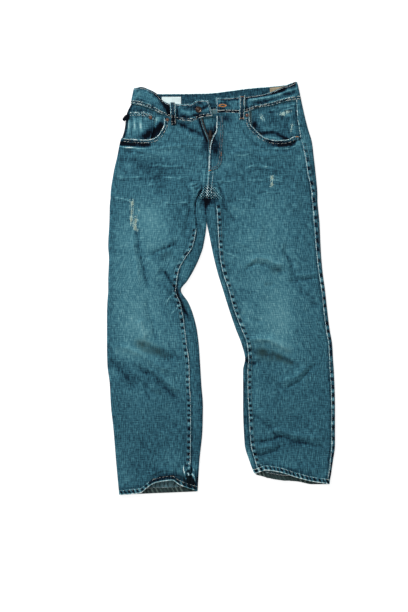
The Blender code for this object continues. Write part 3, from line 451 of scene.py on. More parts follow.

# %% [markdown]
# ## Fading, painted shade, dirt and rips
# Jeans fade where they rub: along the front of the thigh, over the knee, and on every raised edge. Both
# legs have a table of faded and shaded patches, and another of dirty ones, as soft ovals. Its amount is 0 for
# the ordinary blue, below 0 for darker and above 0 for paler; the darkest ovals, in the crotch hollow, the
# open fly, under the band and above the right hem, are painted shade and painted shadow. Rips are ovals too:
# inside one the blue warp is gone and only white weft threads cross the hole.

# %% Fading, painted shade, dirt and rips
# x, y, half width, half length, turn in degrees, amount
# Darker ovals round the crotch, in the fly, under the band and at the right hem are painted shade and painted
# shadow.
FADED_AND_SHADED = {
    "right": (
        (-171, 168, 46, 62, 0, 0.6), (-200, -88, 52, 62, 8, 0.62), (-190, 40, 60, 120, 0, 0.14),
        (-160, 330, 70, 40, 0, 0.1), (-150, 290, 80, 50, 0, 0.1), (-222, 60, 24, 40, 0, 0.12),
        (-68, 60, 16, 40, -35, 0.2), (-170, -300, 60, 90, 0, -0.1), (-120, -60, 22, 50, 30, -0.1),
        (-110, 190, 24, 60, 0, -0.28), (-262, 200, 16, 120, 0, 0.05), (-262, 20, 14, 90, 0, 0.12),
        (-256, 140, 14, 50, 0, 0.28), (-82, -191, 26, 110, 0, 0.4), (-247, -159, 24, 16, 0, 0.4),
        (-272, -216, 14, 18, 0, 0.35), (-128, -316, 18, 40, 0, 0.22), (-88, -453, 12, 14, 0, 0.6),
        (-258, -441, 24, 60, 0, 0.32), (-92, 46, 12, 24, 0, 0.3), (-152, 336, 50, 8, 0, 0.2),
        (-122, 429, 16, 16, 0, -0.8), (-40, 360, 9, 22, 0, -1.3), (-202, 301, 24, 16, 0, -0.26),
        (-152, 251, 14, 22, 0, -0.32), (-210, 146, 10, 14, 0, -0.35), (-105, 16, 8, 20, -20, -0.3),
        (-222, -219, 30, 8, -20, -0.26), (-140, 360, 60, 16, 0, -0.15), (-160, 300, 110, 60, 0, -0.28),
        (-240, -210, 40, 30, -35, -0.14), (-170, -420, 70, 70, 0, -0.22), (-115, -330, 18, 90, 0, -0.1),
        (-193, -79, 20, 26, 0, -0.34), (-238, 121, 16, 60, 0, 0.2), (-228, -166, 20, 12, 0, 0.25),
        (-265, -209, 14, 16, 0, 0.3), (-122, -234, 18, 14, 0, 0.35), (-115, -424, 28, 30, -30, 0.4),
        (-65, -441, 10, 16, 0, 0.5), (-247, -429, 24, 40, 0, 0.25), (-40, 301, 10, 30, 0, 0.3),
        (-152, 76, 20, 8, 20, -0.35), (-82, -41, 8, 14, 0, 0.3), (-182, -229, 30, 6, -20, -0.2),
        (-136, -466, 38, 5, 0, -0.6), (-76, -474, 15, 13, 0, -1.2), (-40, 276, 10, 12, 0, 0.5),
        (-57, 212, 5, 9, 0, 0.4), (-43, 223, 6, 6, 0, -1.3), (-39, 204, 2.0, 24, 0, -1.5),
        (-50, 214, 8, 7, 20, -0.4), (-36, 216, 4, 12, 0, -1.0), (-50, 180, 8, 24, 0, 0.25),
        (-74, -480, 15, 12, 0, -1.6), (-227, 366, 18, 5, 0, -0.5), (-182, 300, 34, 9, -40, -0.28),
        (-100, -34, 7, 36, 22, -0.25), (-200, -134, 16, 16, 0, 0.3), (-94, 34, 10, 16, -30, 0.35),
        (-65, -291, 8, 40, 0, 0.25), (-247, -478, 26, 12, 0, 0.45), (-200, -470, 40, 12, 0, 0.2),
        (-82, 410, 30, 5, -26, -0.45), (-48, 388, 12, 6, -30, -0.5), (-230, 303, 16, 12, 0, 0.28),
        (-34, 180, 10, 14, 0, 0.25), (-240, 3, 26, 40, 0, 0.16), (-121, -41, 12, 24, 0, 0.2),
        (-112, -116, 14, 26, 0, 0.22), (-184, -141, 20, 14, 0, 0.28), (-59, -350, 12, 60, 0, 0.3),
        (-72, -447, 12, 16, 0, 0.4), (-262, -309, 10, 34, 0, 0.18), (-240, -116, 18, 26, 0, 0.15),
        (-160, -420, 40, 14, -14, 0.14), (-140, 84, 34, 14, 10, -0.22), (-152, 276, 40, 22, 0, -0.14),
        (-115, -171, 24, 8, 0, -0.28), (-215, -229, 36, 20, 0, -0.14), (-110, -275, 44, 10, -30, -0.2),
        (-152, -350, 24, 20, 0, -0.1), (-172, -451, 22, 12, 0, -0.18), (-77, 440, 12, 10, 0, -0.3),
        (-46, 387, 12, 16, 0, 0.65), (-202, 349, 16, 7, 0, 0.45), (-234, 366, 10, 8, 0, -0.6),
        (-84, 416, 12, 8, 0, -0.25), (-30, 232, 14, 8, 0, 0.35), (-52, 356, 10, 20, 0, 0.35),
        (-215, 321, 18, 7, 0, -0.35), (-222, 278, 18, 26, 0, 0.15), (-87, -41, 8, 12, 0, 0.35),
        (-250, -216, 12, 14, 0, 0.28), (-271, -247, 6, 20, 0, 0.28), (-109, -254, 14, 12, 0, 0.28),
        (-190, -135, 14, 14, 0, 0.2), (-202, -172, 16, 16, 0, 0.2), (-81, -482, 8, 8, 0, 0.4),
        (-172, 104, 14, 12, 0, 0.22), (-234, 121, 14, 20, 0, 0.2), (-115, 59, 14, 12, 0, 0.28),
        (-84, 71, 12, 12, 0, 0.18), (-160, -425, 30, 10, -14, 0.12), (-43, 146, 6, 20, 0, 0.35),
        (-62, 214, 8, 20, 0, 0.25), (-62, 172, 14, 16, 0, 0.15), (-156, 336, 60, 10, 0, 0.15),
        (-60, 300, 20, 30, 0, 0.15),
    ),
    "left": (
        (110, 170, 56, 80, 0, 0.34), (150, -82, 46, 74, 6, 0.6), (120, 40, 60, 90, 6, 0.14),
        (100, 330, 70, 40, 0, 0.05), (196, 210, 22, 110, 0, -0.16), (210, 40, 18, 90, 6, -0.12),
        (22, 210, 18, 60, 0, -0.22), (40, 60, 16, 90, 14, -0.1), (110, -220, 26, 30, 0, -0.22),
        (150, -330, 70, 60, 0, -0.16), (170, -420, 70, 50, 0, -0.3), (238, -250, 16, 120, 0, -0.12),
        (60, 400, 40, 22, 0, -0.2), (20, 360, 22, 60, 0, -0.2), (-15, 354, 11, 27, 10, -1.5),
        (110, 300, 120, 70, 0, -0.16), (235, -330, 14, 120, 0, 0.1), (27, 196, 14, 26, 0, 0.3),
        (-29, 223, 6, 5, 0, -1.2), (-34, 214, 4, 12, 0, -1.2), (-14, 222, 5, 6, 0, -1.0),
        (-37, 198, 1.8, 16, 4, -0.6), (-24, 215, 9, 7, -10, -0.9), (-36, 212, 3, 8, 0, -0.6),
        (-20, 186, 7, 22, 0, 0.25), (42, 66, 30, 70, 0, 0.16), (-26, 301, 8, 30, 0, 0.3),
        (35, 191, 12, 14, 0, 0.25), (27, 14, 16, 14, 0, 0.3), (72, -79, 14, 26, 0, 0.25),
        (85, -374, 16, 10, 0, 0.35), (72, -429, 8, 14, 0, 0.4), (110, -446, 16, 8, 0, 0.25),
        (210, 326, 14, 20, 0, 0.35), (202, 384, 12, 10, 0, 0.3), (262, -40, 7, 60, 4, -0.4),
        (57, -270, 4, 90, 0, -0.4), (52, -74, 14, 40, 0, 0.36), (85, -279, 22, 90, 0, 0.42),
        (78, -441, 20, 30, 0, 0.6), (172, -429, 64, 24, 0, 0.48), (264, -466, 12, 14, 0, 0.4),
        (207, 359, 14, 36, 0, 0.4), (-2, 309, 12, 18, 0, 0.4), (17, 384, 20, 18, 0, 0.3),
        (14, 425, 11, 10, 0, -1.3), (117, 271, 36, 44, 0, -0.2), (185, -66, 18, 60, 0, -0.22),
        (252, 84, 7, 80, 4, -0.38), (222, 254, 10, 12, 0, -0.4), (222, -266, 24, 10, 0, -0.15),
        (222, -354, 24, 16, 0, -0.15), (82, 210, 12, 60, 10, -0.22), (230, 300, 7, 12, 0, -0.5),
        (232, 236, 7, 16, 0, -0.35), (236, 190, 7, 18, 0, -0.4), (65, -179, 6, 8, 0, -0.5),
        (58, -262, 4, 26, 0, -0.4), (57, -330, 4, 14, 0, -0.4), (77, -140, 12, 14, 0, 0.3),
        (66, -416, 8, 16, 12, 0.5), (247, -470, 16, 10, 0, 0.35), (172, -159, 26, 10, -16, 0.25),
        (120, 356, 34, 7, 0, -0.35), (24, 116, 24, 50, 0, 0.1), (90, 68, 30, 10, 0, 0.15),
        (34, 204, 14, 16, 0, 0.16), (20, 12, 22, 22, 0, 0.2), (74, 10, 40, 16, 0, 0.2),
        (60, -52, 16, 24, 0, 0.24), (84, -80, 34, 26, 0, 0.18), (92, -147, 26, 12, 0, 0.28),
        (78, -206, 26, 18, 0, 0.24), (74, -410, 20, 26, 0, 0.3), (266, -341, 10, 50, 0, 0.18),
        (258, -429, 12, 40, 0, 0.24), (124, -258, 14, 14, 0, 0.14), (78, 146, 24, 40, 0, -0.14),
        (135, 296, 50, 24, 0, -0.14), (204, -120, 20, 60, 0, -0.14), (205, -262, 30, 16, 20, -0.14),
        (175, 120, 40, 40, 0, -0.08), (160, -455, 30, 8, -8, -0.4), (206, -438, 18, 10, 0, -0.22),
        (-8, 394, 10, 20, 0, 0.35), (-9, 246, 12, 12, 0, 0.35), (47, 405, 12, 12, 0, 0.25),
        (-14, 316, 10, 26, 0, 0.4), (36, 370, 20, 18, 0, 0.25), (200, 366, 22, 12, 0, 0.35),
        (147, 358, 16, 12, 0, -0.35), (224, 334, 12, 12, 0, 0.18), (84, 300, 16, 40, 0, -0.1),
        (122, -470, 20, 6, -8, 0.4), (72, -354, 14, 12, 0, 0.32), (128, -369, 14, 10, 0, 0.28),
        (72, 134, 14, 40, 0, 0.2), (47, 191, 14, 30, 0, 0.15), (190, 303, 12, 16, 0, 0.22),
        (178, 366, 16, 8, 0, 0.4), (90, 66, 24, 10, 0, 0.22), (272, -104, 5, 40, 0, -0.3),
        (200, 90, 50, 30, 0, 0.06), (-27, 206, 8, 20, 0, 0.25), (20, 321, 24, 24, 0, 0.24),
        (-26, 180, 10, 18, 0, 0.25), (276, -130, 6, 70, 2, -0.4), (268, -60, 5, 60, 3, -0.25),
        (92, 330, 30, 24, 0, -0.1), (150, 190, 40, 30, 0, -0.1),
    ),
}
DIRT = {
    "right": (
        (-172, -154, 44, 15, -20, 0.75), (-196, -138, 20, 14, -15, 0.5), (-140, 84, 20, 16, 40, 0.5),
        (-112, 70, 14, 10, 0, 0.35), (-150, -260, 40, 12, -30, 0.3), (-90, -465, 26, 24, 0, 0.35),
    ),
    "left": (
        (104, -158, 22, 14, 0, 0.95), (140, -170, 30, 10, -18, 0.85), (178, -188, 24, 6, -14, 0.7),
        (120, -178, 26, 12, 0, 0.45), (136, 44, 24, 12, 0, 0.55), (119, 12, 12, 8, 0, 0.4),
        (105, -20, 20, 18, 0, 0.3), (160, 104, 8, 16, 0, 0.35), (150, -300, 30, 40, 0, 0.2),
    ),
}
# x, y, half width, half length, turn in degrees: the hole itself
RIPS = {
    "right": (
        (-221, 213, 1.2, 4.0, 8), (-223, 190, 0.7, 4.0, 0), (-224, 172, 1.3, 4.5, -6),
        (-213, 168, 1.3, 4.5, 8), (-214, 151, 1.9, 5.0, 20),
    ),
    "left": ((127, 276, 1.2, 2.8, 0), (127, 260, 1.3, 2.6, 0)),
}
# x, y, half width, half length, turn in degrees, amount: where the blue warp has worn away
WORN = {
    "right": (
        (-222, 213, 5.5, 10, 8, 0.95), (-223, 192, 4.0, 15, 0, 0.75), (-224, 172, 5.0, 11, 0, 0.95),
        (-212, 170, 5.0, 13, 0, 0.95), (-214, 150, 6.0, 11, 20, 0.95), (-206, 200, 3.0, 9, 0, 0.45),
    ),
    "left": ((127, 276, 4.8, 7, 0, 1.0), (127, 260, 5.2, 7.5, 0, 1.0)),
}


def oval(x, y, row):
    """How far out a point is in an oval: 0 at its centre, 1 at its edge."""
    x0, y0, half_width, half_length, turn = row[:5]
    cos, sin = math.cos(math.radians(turn)), math.sin(math.radians(turn))
    dx, dy = x - x0, y - y0
    return np.hypot((dx * cos + dy * sin) / half_width, (dy * cos - dx * sin) / half_length)


def ovals(x, y, rows):
    """The sum of soft ovals."""
    total = np.zeros(np.shape(x))
    for row in rows:
        total = total + row[5] * np.exp(-(oval(x, y, row) ** 2))
    return total


def rip_distance(x, y, side):
    """Distance to the ragged edge of the nearest rip, negative inside it."""
    best = np.full(np.shape(x), OUT_OF_SIGHT)
    for k, row in enumerate(RIPS[side]):
        ragged = 1.0 + 0.35 * patchy(x, y, 4.0, 40 + k)
        best = np.minimum(best, (oval(x, y, row) - ragged) * row[2])
    return best


print("rips:", sum(len(rows) for rows in RIPS.values()))

# %% [markdown]
# ## The form of a leg
# A leg could be a tube squashed by a cloth simulation, but its folds would then fall where they like. Here
# it is a rule: at any point of the outline the front face has a height, rounded down at the folded edges,
# and the creases, the felled seams with their puckers and the raised pocket edges are added to it. The same
# rule gives the colour at each point, so a ridge of a puckered seam is always the pale part of it, and it
# paints shade into the troughs of creases, the crotch hollow and beside raised edges. Anything that lies on
# the cloth, such as a stitch, asks the same rule where the cloth is.

# %% The form of a leg
SEAM_PITCH = 15.0
FELL_WIDTH = 10.5
EDGE_RADIUS = 1.3
GATHER_TOP = 268.0
GATHER_COUNT = 17
FAR = 99.0  # a mark that is not on this point
INSEAM_TOPS = {"right": 150, "left": 208}
INSEAM_ENDS = {"right": -436, "left": -600}
SEEDS = {"inseam": 11, "outseam": 21}
# height down the leg, then x or dye
J_STITCH = smooth((
    (293, -27), (296, -18), (301, -8), (314, 0), (330, 2), (346, 2), (396, 5), (421, 3), (440, 2),
))
FADE_DOWN = smooth((
    (-520, -0.34), (-420, -0.24), (-300, -0.10), (-180, 0.0), (-60, 0.12), (80, 0.12), (220, 0.03),
    (330, 0.0), (470, 0.0),
))


class Leg:
    """One leg with its half of the hips."""

    def __init__(self, side, sections):
        self.side = side
        self.on_left = side == "left"
        self.inward = -1 if self.on_left else 1
        self.lines = {
            column: smooth([(row[0], row[i]) for row in sections]) for i, column in enumerate(COLUMNS) if i
        }
        self.creases = [(width, height, dye_and_shade, drawn(line)) for width, height, dye_and_shade, line in CREASES[side]]
        self.rubbed = [(drawn(line), 0.0) for line in RUBBED_FOLDS[side]]
        self.rubbed += [(drawn(line), WHISKER_DEPTH) for line in WHISKERS[side]]
        self.mouth = drawn(MOUTHS[side], 2.0)
        self.fly = drawn([(x, y) for y, x in FLY_EDGES[side]], 2.0)
        self.hems = {face: smooth(line) for face, line in HEMS[side].items()}

    def at(self, column, y):
        """The x of a line of the sections."""
        return self.lines[column](y)

    def middle(self, y):
        return (self.at("outer", y) + self.at("inner", y)) / 2

    def roundness(self, x, y):
        """0 on the outline, 1 where the folded edge has become flat."""
        outer = np.maximum(0.0, (x - self.at("outer", y)) * self.inward)
        across = np.maximum(0.0, (self.at("inner", y) - x) * self.inward)
        inner = np.hypot(across, np.maximum(0.0, y - SADDLE_Y))
        return quarter_round(outer, FOLD_DEPTH) * quarter_round(inner, FOLD_DEPTH)

    def creased(self, x, y):
        """Height and colour of the leg's creases, which wander a little from their lines. Dark troughs are
        partly painted shade and pale ridges partly painted highlight.
        """
        height, dye_and_shade = np.zeros(x.shape), np.zeros(x.shape)
        rubbed = 1 + 0.5 * patchy(x, y, 8.0, 34)
        wander_x, wander_y = x + 2.4 * patchy(x, y, 17.0, 35), y + 2.4 * patchy(x, y, 17.0, 36)
        for width, tall, tone, line in self.creases:
            distance, along = near(wander_x, wander_y, line, 3.5 * width)
            total = travelled_along(line)[-1]
            ends = rise(along, 0.22 * total) * rise(total - along, 0.22 * total)
            ends = ends * (1 + 0.3 * ripples(along, 24.0, int(10 * width)))
            wide = width * (1 + 0.3 * ripples(along, 31.0, int(10 * width) + 1))
            height += tall * ends * (0.6 * bell(distance, wide) + 0.4 * bell(distance, 0.45 * wide))
            dye_and_shade += tone * ends * rubbed * (0.6 * bell(distance, wide) + 0.5 * bell(distance, 0.4 * wide))
        return height, dye_and_shade

    def felled(self, x, y, line):
        """A felled seam: its raised band, puckered into a rope, lies on the inner side of the line."""
        inside, seed = (self.at(line, y) - x) * self.inward, SEEDS[line]
        rope = roped(y, SEAM_PITCH, seed)
        there = rise(218 - y, 14.0) if line == "inseam" else 1.0
        if not self.on_left:
            there = there * (1 - 0.8 * rise(y - INSEAM_TOPS["right"], 10.0))
        band = rise(inside + 0.2, 0.4) * rise(FELL_WIDTH - inside, 2.0)
        height = band + 0.75 * rope * bell(inside - FELL_WIDTH / 2, 6.0) - 0.5 * bell(inside + 1.8, 1.6)
        shade = 0.55 + 0.45 * patchy(0 * y, y, 38.0, seed + 3)
        # The dark line just outside the seam line is a painted shadow along the raised seam.
        dye_and_shade = 0.12 * band - 1.5 * shade * bell(inside + 2.6, 1.5)
        dye_and_shade = dye_and_shade - 0.25 * bell(inside - FELL_WIDTH - 3.5, 3.0)
        return height * there, dye_and_shade * there

    def front_edges(self, x, y):
        """The doubled edges of the front panel at the pocket mouth and the fly, with painted shade in the
        fold below the mouth and a painted shadow along the right edge of the fly.
        """
        height, dye_and_shade = np.zeros(x.shape), np.zeros(x.shape)
        away, along = near(x, y, self.mouth, 30)
        rope = roped(along, 8.0, 70 + self.inward)
        height += 0.8 * rise(10.5 - away, 2.0) + 0.35 * rope * bell(away - 5, 6.0)
        height -= 0.9 * (1 - quarter_round(away, EDGE_RADIUS))
        low = rise(78 - along, 34.0)
        rubbed = 1 + 0.8 * patchy(x, y, 12.0, 38)
        if self.on_left:
            low = low * rise(190 - x, 8.0)
        dye_and_shade += 0.7 * bell(away - 0.3, 1.0) - (0.8 - 0.5 * low) * bell(away - 5.0, 2.4)
        # A dark band below the start of the mouth: painted shade in the fold there.
        dye_and_shade -= 2.4 * low * bell(away - 14.0, 5.5)
        dye_and_shade -= (0.5 * rope + 0.4 * patchy(x, y, 5.0, 37)) * bell(away - 6, 4.0)
        dye_and_shade += 1.5 * bell(away - 22.0, 1.5) * low * rubbed - 0.45 * bell(away - 25.5, 2.2)
        if self.on_left:
            inside = J_STITCH(y) - x
            height += 1.3 * rise(inside + 1.0, 2.5) * rise(y - 290, 4.0)
            dye_and_shade -= 0.35 * bell(inside + 2.0, 2.0) * rise(y - 290, 4.0)
            dye_and_shade -= 0.30 * rise(inside, 3.0) * rise(y - 296, 8.0)
        away = self.fly_distance(x, y)
        if self.on_left:
            dye_and_shade += 1.8 * bell(away - 0.4, 1.1) - 0.6 * bell(away - 4.0, 1.8)
        else:
            # Painted shadow along the right front's edge of the open fly.
            dye_and_shade -= 2.0 * bell(away - 4.6, 2.8) * rise(y - 362, 6.0) + 0.6 * bell(away - 4.0, 1.8)
        height -= 0.8 * (1 - quarter_round(away, EDGE_RADIUS))
        return height, dye_and_shade

    def fly_distance(self, x, y):
        """Distance to the edge of the fly, along its curve and down the straight seam below it."""
        away = near(x, y, self.fly, 20)[0]
        on_seam = (y > 291) & (y < self.fly[:, 1].min())
        return np.minimum(away, np.where(on_seam, np.abs(self.at("inseam", y) - x), OUT_OF_SIGHT))

    def marks(self, face, x, y):
        """What a finish needs: distances from a turned edge and into a felled seam, its rope, and more."""
        inseam = (self.at("inseam", y) - x) * self.inward
        outseam = (self.at("outseam", y) - x) * self.inward
        above = y > INSEAM_TOPS[self.side]
        edge = np.where((inseam > -0.2) & ~above & (y > INSEAM_ENDS[self.side]), inseam, FAR)
        fell = np.where(inseam > -0.2, inseam, FAR) + FAR * above
        rope = roped(y, SEAM_PITCH, SEEDS["inseam"])
        on_strip = (outseam > -0.2) & self.on_left
        edge = np.where(on_strip, outseam, edge)
        fell = np.where(on_strip, outseam + FAR * (y > PATCH_HIGH), fell)
        uneven = roped(y, 1.35 * SEAM_PITCH, SEEDS["outseam"]) + 0.5 * patchy(0 * y, y, 9.0, 24)
        rope = np.where(on_strip, uneven, rope)
        wander = 1.1 * patchy(0 * y, y, 9.0, 23) + 0.7 * np.maximum(0, rope)
        edge = edge - wander * (edge < 60) * np.where(on_strip, 1.6, 0.8)
        speckle = np.zeros(x.shape)
        slots = bell(y - self.hems["back"](x) - HEM_HEIGHT - 8, 7.0)
        if face == "front":
            for line, faint in self.rubbed:
                edge = np.minimum(edge, near(x, y, line, 12)[0] + 0.2 + faint)
            edge = np.minimum(edge, near(x, y, self.mouth, 30)[0])
            edge = np.minimum(edge, self.fly_distance(x, y))
            spread = 7 + 0.62 * np.clip(264 - y, 0, 40)
            speckle = 1.1 * np.exp(-(((x + 30) / spread) ** 4) - ((y - 240) / 20) ** 6) * (y > 224)
            speckle += 0.25 * bell(near(x, y, self.mouth, 30)[0] - 6, 5.0)
        return {
            "edge": np.minimum(edge, FAR), "fell": np.minimum(fell, FAR), "rope": rope, "speckle": speckle,
            "slots": slots,
        }

    def crotch(self, x, y):
        """The rise seam below the fly, its gathers, and the hollow where the four seams meet, darkened with
        painted shade.
        """
        away = (x - self.at("inseam", y)) * -self.inward
        on_panel = rise(away + 0.2, 0.4)
        there = rise(y - 226, 6.0) * rise(296 - y, 8.0)
        rope = roped(y, 7.0, 31)
        height = there * (0.7 * rise(12.5 - away, 2.0) + 0.7 * rope * bell(away - 6, 9.0))
        dye_and_shade = there * (1.2 * bell(away - 0.6, 1.3) + 1.2 * bell(away - 11.6, 1.3) - 0.6 * bell(away - 6, 3.0))
        dye_and_shade = dye_and_shade - there * 0.5 * bell(away - 15, 2.0) + there * 0.5 * rope * bell(away - 6, 5.0)
        from_top = np.hypot(x - CENTRE, GATHER_TOP - y)
        fan = np.sin(GATHER_COUNT * np.arctan2(x - CENTRE, GATHER_TOP - y) + 2.6 * patchy(x, y, 9.0, 32))
        gathers = bell(from_top - 32, 12.0) * bell(np.maximum(0, y - GATHER_TOP), 6.0) * on_panel
        height = height + gathers * (1.0 + 0.8 * fan)
        # The gathers are paler on their ridges and darker between them: partly wear, partly painted shade.
        dye_and_shade = dye_and_shade + gathers * (0.8 * fan - 0.1)
        ragged = 1 + 0.35 * patchy(x, y, 7.0, 33)
        hollow = np.exp(-((((x + 33) / 18) ** 2 + ((y - 215) / 12) ** 2) * ragged) ** 2)
        lobes = 0.9 * bell(np.hypot(x + 44, y - 213), 6.0) + 0.9 * bell(np.hypot(x + 25, y - 211), 7.0)
        # The hollow is darkened as painted shade.
        return height - 4.2 * hollow, dye_and_shade - (0.5 + 0.6 * (1 - on_panel)) * hollow + lobes

    def front(self, x, y):
        """Height of the front face above its level, and its colour value, with painted shade and highlights
        in it.
        """
        height, dye_and_shade = self.creased(x, y)
        parts = [self.felled(x, y, "inseam"), self.front_edges(x, y), self.crotch(x, y)]
        if self.on_left:
            parts.append(self.felled(x, y, "outseam"))
        for part_height, part_dye in parts:
            height = height + part_height
            dye_and_shade = dye_and_shade + part_dye
        for size, amount in WAVES:
            height += amount * patchy(x, 0.7 * y, size, int(size))
        share = np.clip((x - self.at("outer", y)) / (self.at("inseam", y) - self.at("outer", y)), 0, 1.3)
        dye_and_shade += 0.10 - 0.34 * np.abs(2 * share - 1) ** 3 + ovals(x, y, FADED_AND_SHADED[self.side])
        # A painted shadow just above the hem, where the hem stands up from the leg.
        dye_and_shade -= 0.45 * bell(y - self.hems["front"](x) - HEM_HEIGHT - 2.5, 2.5)
        return height, dye_and_shade + self.even(x, y)

    @staticmethod
    def even(x, y):
        """The dye that front and back share: paler down the thigh, and a little uneven."""
        return FADE_DOWN(y) + 0.08 * patchy(x, y, 60.0, 5) + 0.05 * patchy(x, y, 22.0, 6)

    def twin(self, x, y):
        """The same place on the other leg's front, for the creases that don't show."""
        other = legs["right" if self.on_left else "left"]
        share = (x - self.at("outer", y)) / (self.at("inner", y) - self.at("outer", y))
        return other, other.at("outer", y) + share * (other.at("inner", y) - other.at("outer", y))

    def back(self, x, y):
        """How far the underside is pushed up above its level, and its colour value, painted crease shade
        included.
        """
        other, other_x = self.twin(x, y)
        dent, dye_and_shade = other.creased(other_x, y)
        room = front_top(y) - underside(y) + self.creased(x, y)[0] - 2 * DENIM - 3 * GAP
        dent = np.clip(0.8 * dent + 0.5 * patchy(x, y, 40.0, 8), 0.0, np.clip(room, 0.0, 3.0))
        seat = 0.35 * np.exp(-((((x - CENTRE) * self.inward + 110) / 70) ** 2) - ((y - 250) / 70) ** 2)
        return dent, 0.6 * dye_and_shade + seat + self.even(x, y) - 0.06

    def surface(self, face, x, y):
        """Height of the cloth's outer face, and its colour value, painted shade included."""
        base, top = underside(y), front_top(y)
        middle = base + MID_SHARE * (top - base)
        share = self.roundness(x, y)
        if face == "back":
            lift, dye_and_shade = self.back(x, y)
            return middle + (base + lift - middle) * share, dye_and_shade
        lift, dye_and_shade = self.front(x, y)
        lowest = base + 2 * DENIM + 4 * GAP
        return middle + (np.maximum(top + lift, lowest) - middle) * share, dye_and_shade


legs = {"right": Leg("right", RIGHT_SECTIONS), "left": Leg("left", LEFT_SECTIONS)}
print("legs:", ", ".join(legs))

# %% [markdown]
# ## Columns and patches
# Each panel is a grid: columns run down the leg and keep their share of the way between two seams, and rows
# run across. The columns stand closer round a folded edge and at a seam. A patch is such a grid with its
# height, colour value (dye, wear and painted shade), dirt and bareness at every point.

# %% Columns and patches
FRONT_PITCH = 2.4
BACK_PITCH = 3.6
TURN_ANGLES = (0, 14, 28, 42, 56, 70, 80)
MID_LEG = -100.0
# what a finish reads at each point, and its value on a piece that doesn't say
# the first mark, fade, holds fading and dye together with painted shade and painted highlights
MARKS = {
    "fade": 0.0, "dirt": 0.0, "bare": 0.0, "edge": FAR, "fell": FAR, "rope": 0.0, "speckle": 0.0,
    "slots": 0.0,
}


def span(leg, face, start, end, pitch, round_start=False, round_end=False, gap_start=False, gap_end=False):
    """Columns from one line of the sections to another, as (face, start, end, share, offset)."""
    width = leg.at(end, MID_LEG) - leg.at(start, MID_LEG)
    way = 1 if width > 0 else -1
    count = max(2, int(abs(width) / pitch))
    turn = [FOLD_DEPTH * (1 - math.cos(math.radians(angle))) for angle in TURN_ANGLES]
    columns = []
    if round_start:
        columns += [(face, start, end, 0.0, way * d) for d in turn]
    if gap_start:
        columns += [(face, start, end, 0.0, way * d) for d in (GAP / 2, 1.0)]
    for i in range(count + 1):
        share = i / count
        offset = FOLD_DEPTH * ((1 - share) * round_start - share * round_end)
        offset += 2.0 * ((1 - share) * gap_start - share * gap_end)
        columns.append((face, start, end, share, way * offset))
    if gap_end:
        columns += [(face, start, end, 1.0, -way * d) for d in (1.0, GAP / 2)]
    if round_end:
        columns += [(face, start, end, 1.0, -way * d) for d in reversed(turn)]
    return columns


def column_x(leg, column, y):
    """Where a column is at a height."""
    _, start, end, share, offset = column
    return (1 - share) * leg.at(start, y) + share * leg.at(end, y) + offset


def meeting(leg, columns, curves, shift=0.0):
    """The height at which each column meets an edge that is given as y along x for each face."""
    ys = []
    for column in columns:
        x, y = 0.0, 0.0
        for _ in range(8):
            y = float(curves[column[0]](x)) + shift
            x = float(column_x(leg, column, y))
        ys.append(y)
    return np.array(ys)


def level(columns, y):
    """The same height for every column."""
    return np.full(len(columns), y)


def rows_between(low, high, pitch):
    """Evenly spaced rows of heights from one edge to another."""
    count = max(2, int(np.mean(high - low) / pitch))
    share = np.linspace(0, 1, count + 1)[:, None]
    return low + (high - low) * share


def across(leg, columns, ys):
    """Where every column is in every row."""
    return np.stack([column_x(leg, column, ys[:, j]) for j, column in enumerate(columns)], axis=1)


def grid(x, y, z, **marks):
    """The points of a piece, with its grain straight up."""
    return {"xyz": np.stack([x, y, z], axis=2), "uv": np.stack([x, y], axis=2), **marks}


def patch(leg, columns, x, y, cut_rips=False):
    """Cloth points on the leg's outer face, with what the finish needs at each."""
    rip = np.full(x.shape, OUT_OF_SIGHT)
    if cut_rips:
        rip = rip_distance(x, y, leg.side)
        step = 0.1
        slope_x = (rip_distance(x + step, y, leg.side) - rip) / step
        slope_y = (rip_distance(x, y + step, leg.side) - rip) / step
        steep = np.maximum(slope_x**2 + slope_y**2, 0.2)
        snap = np.abs(rip) < 0.6 * FRONT_PITCH
        x = x - np.where(snap, rip * slope_x / steep, 0.0)
        y = y - np.where(snap, rip * slope_y / steep, 0.0)
        rip = np.where(snap, 0.0, rip)
    z = np.zeros(x.shape)
    marks = {key: np.zeros(x.shape) for key in MARKS}
    faces = np.array([column[0] for column in columns])
    for face in ("front", "back"):
        chosen = faces == face
        if not chosen.any():
            continue
        z[:, chosen], marks["fade"][:, chosen] = leg.surface(face, x[:, chosen], y[:, chosen])
        for key, value in leg.marks(face, x[:, chosen], y[:, chosen]).items():
            marks[key][:, chosen] = value
    for key, table in (("dirt", DIRT), ("bare", WORN)):
        marks[key] = ovals(x, y, table[leg.side]) * (faces == "front")
    return {**marks, **grid(x, y, z), "uv": np.stack([x - leg.middle(y), y], axis=2), "keep": rip}


# %% [markdown]
# ## Meshes with a wall
# A panel of one or more patches becomes a mesh whose grain is its UV map, so the weave follows the leg. What
# a finish reads is kept at every point. A Solidify modifier gives the cloth its wall, inwards.

# %% Meshes with a wall
SAME_POINT = 0.00003
CLOTH_SHARP = math.radians(50)


def put(name, data):
    """A new object in the scene."""
    ob = bpy.data.objects.new(name, data)
    bpy.context.scene.collection.objects.link(ob)
    return ob


def plain(ob):
    """Turns an object with modifiers into a plain mesh."""
    graph = bpy.context.evaluated_depsgraph_get()
    solved = ob.evaluated_get(graph)
    mesh = bpy.data.meshes.new_from_object(solved, preserve_all_data_layers=True, depsgraph=graph)
    ob.modifiers.clear()
    old = ob.data
    ob.data = mesh
    if old.users == 0:
        (bpy.data.curves if isinstance(old, bpy.types.Curve) else bpy.data.meshes).remove(old)
    mesh.name = ob.name
    return ob


def triangles(ob):
    return sum(len(p.vertices) - 2 for p in ob.data.polygons)


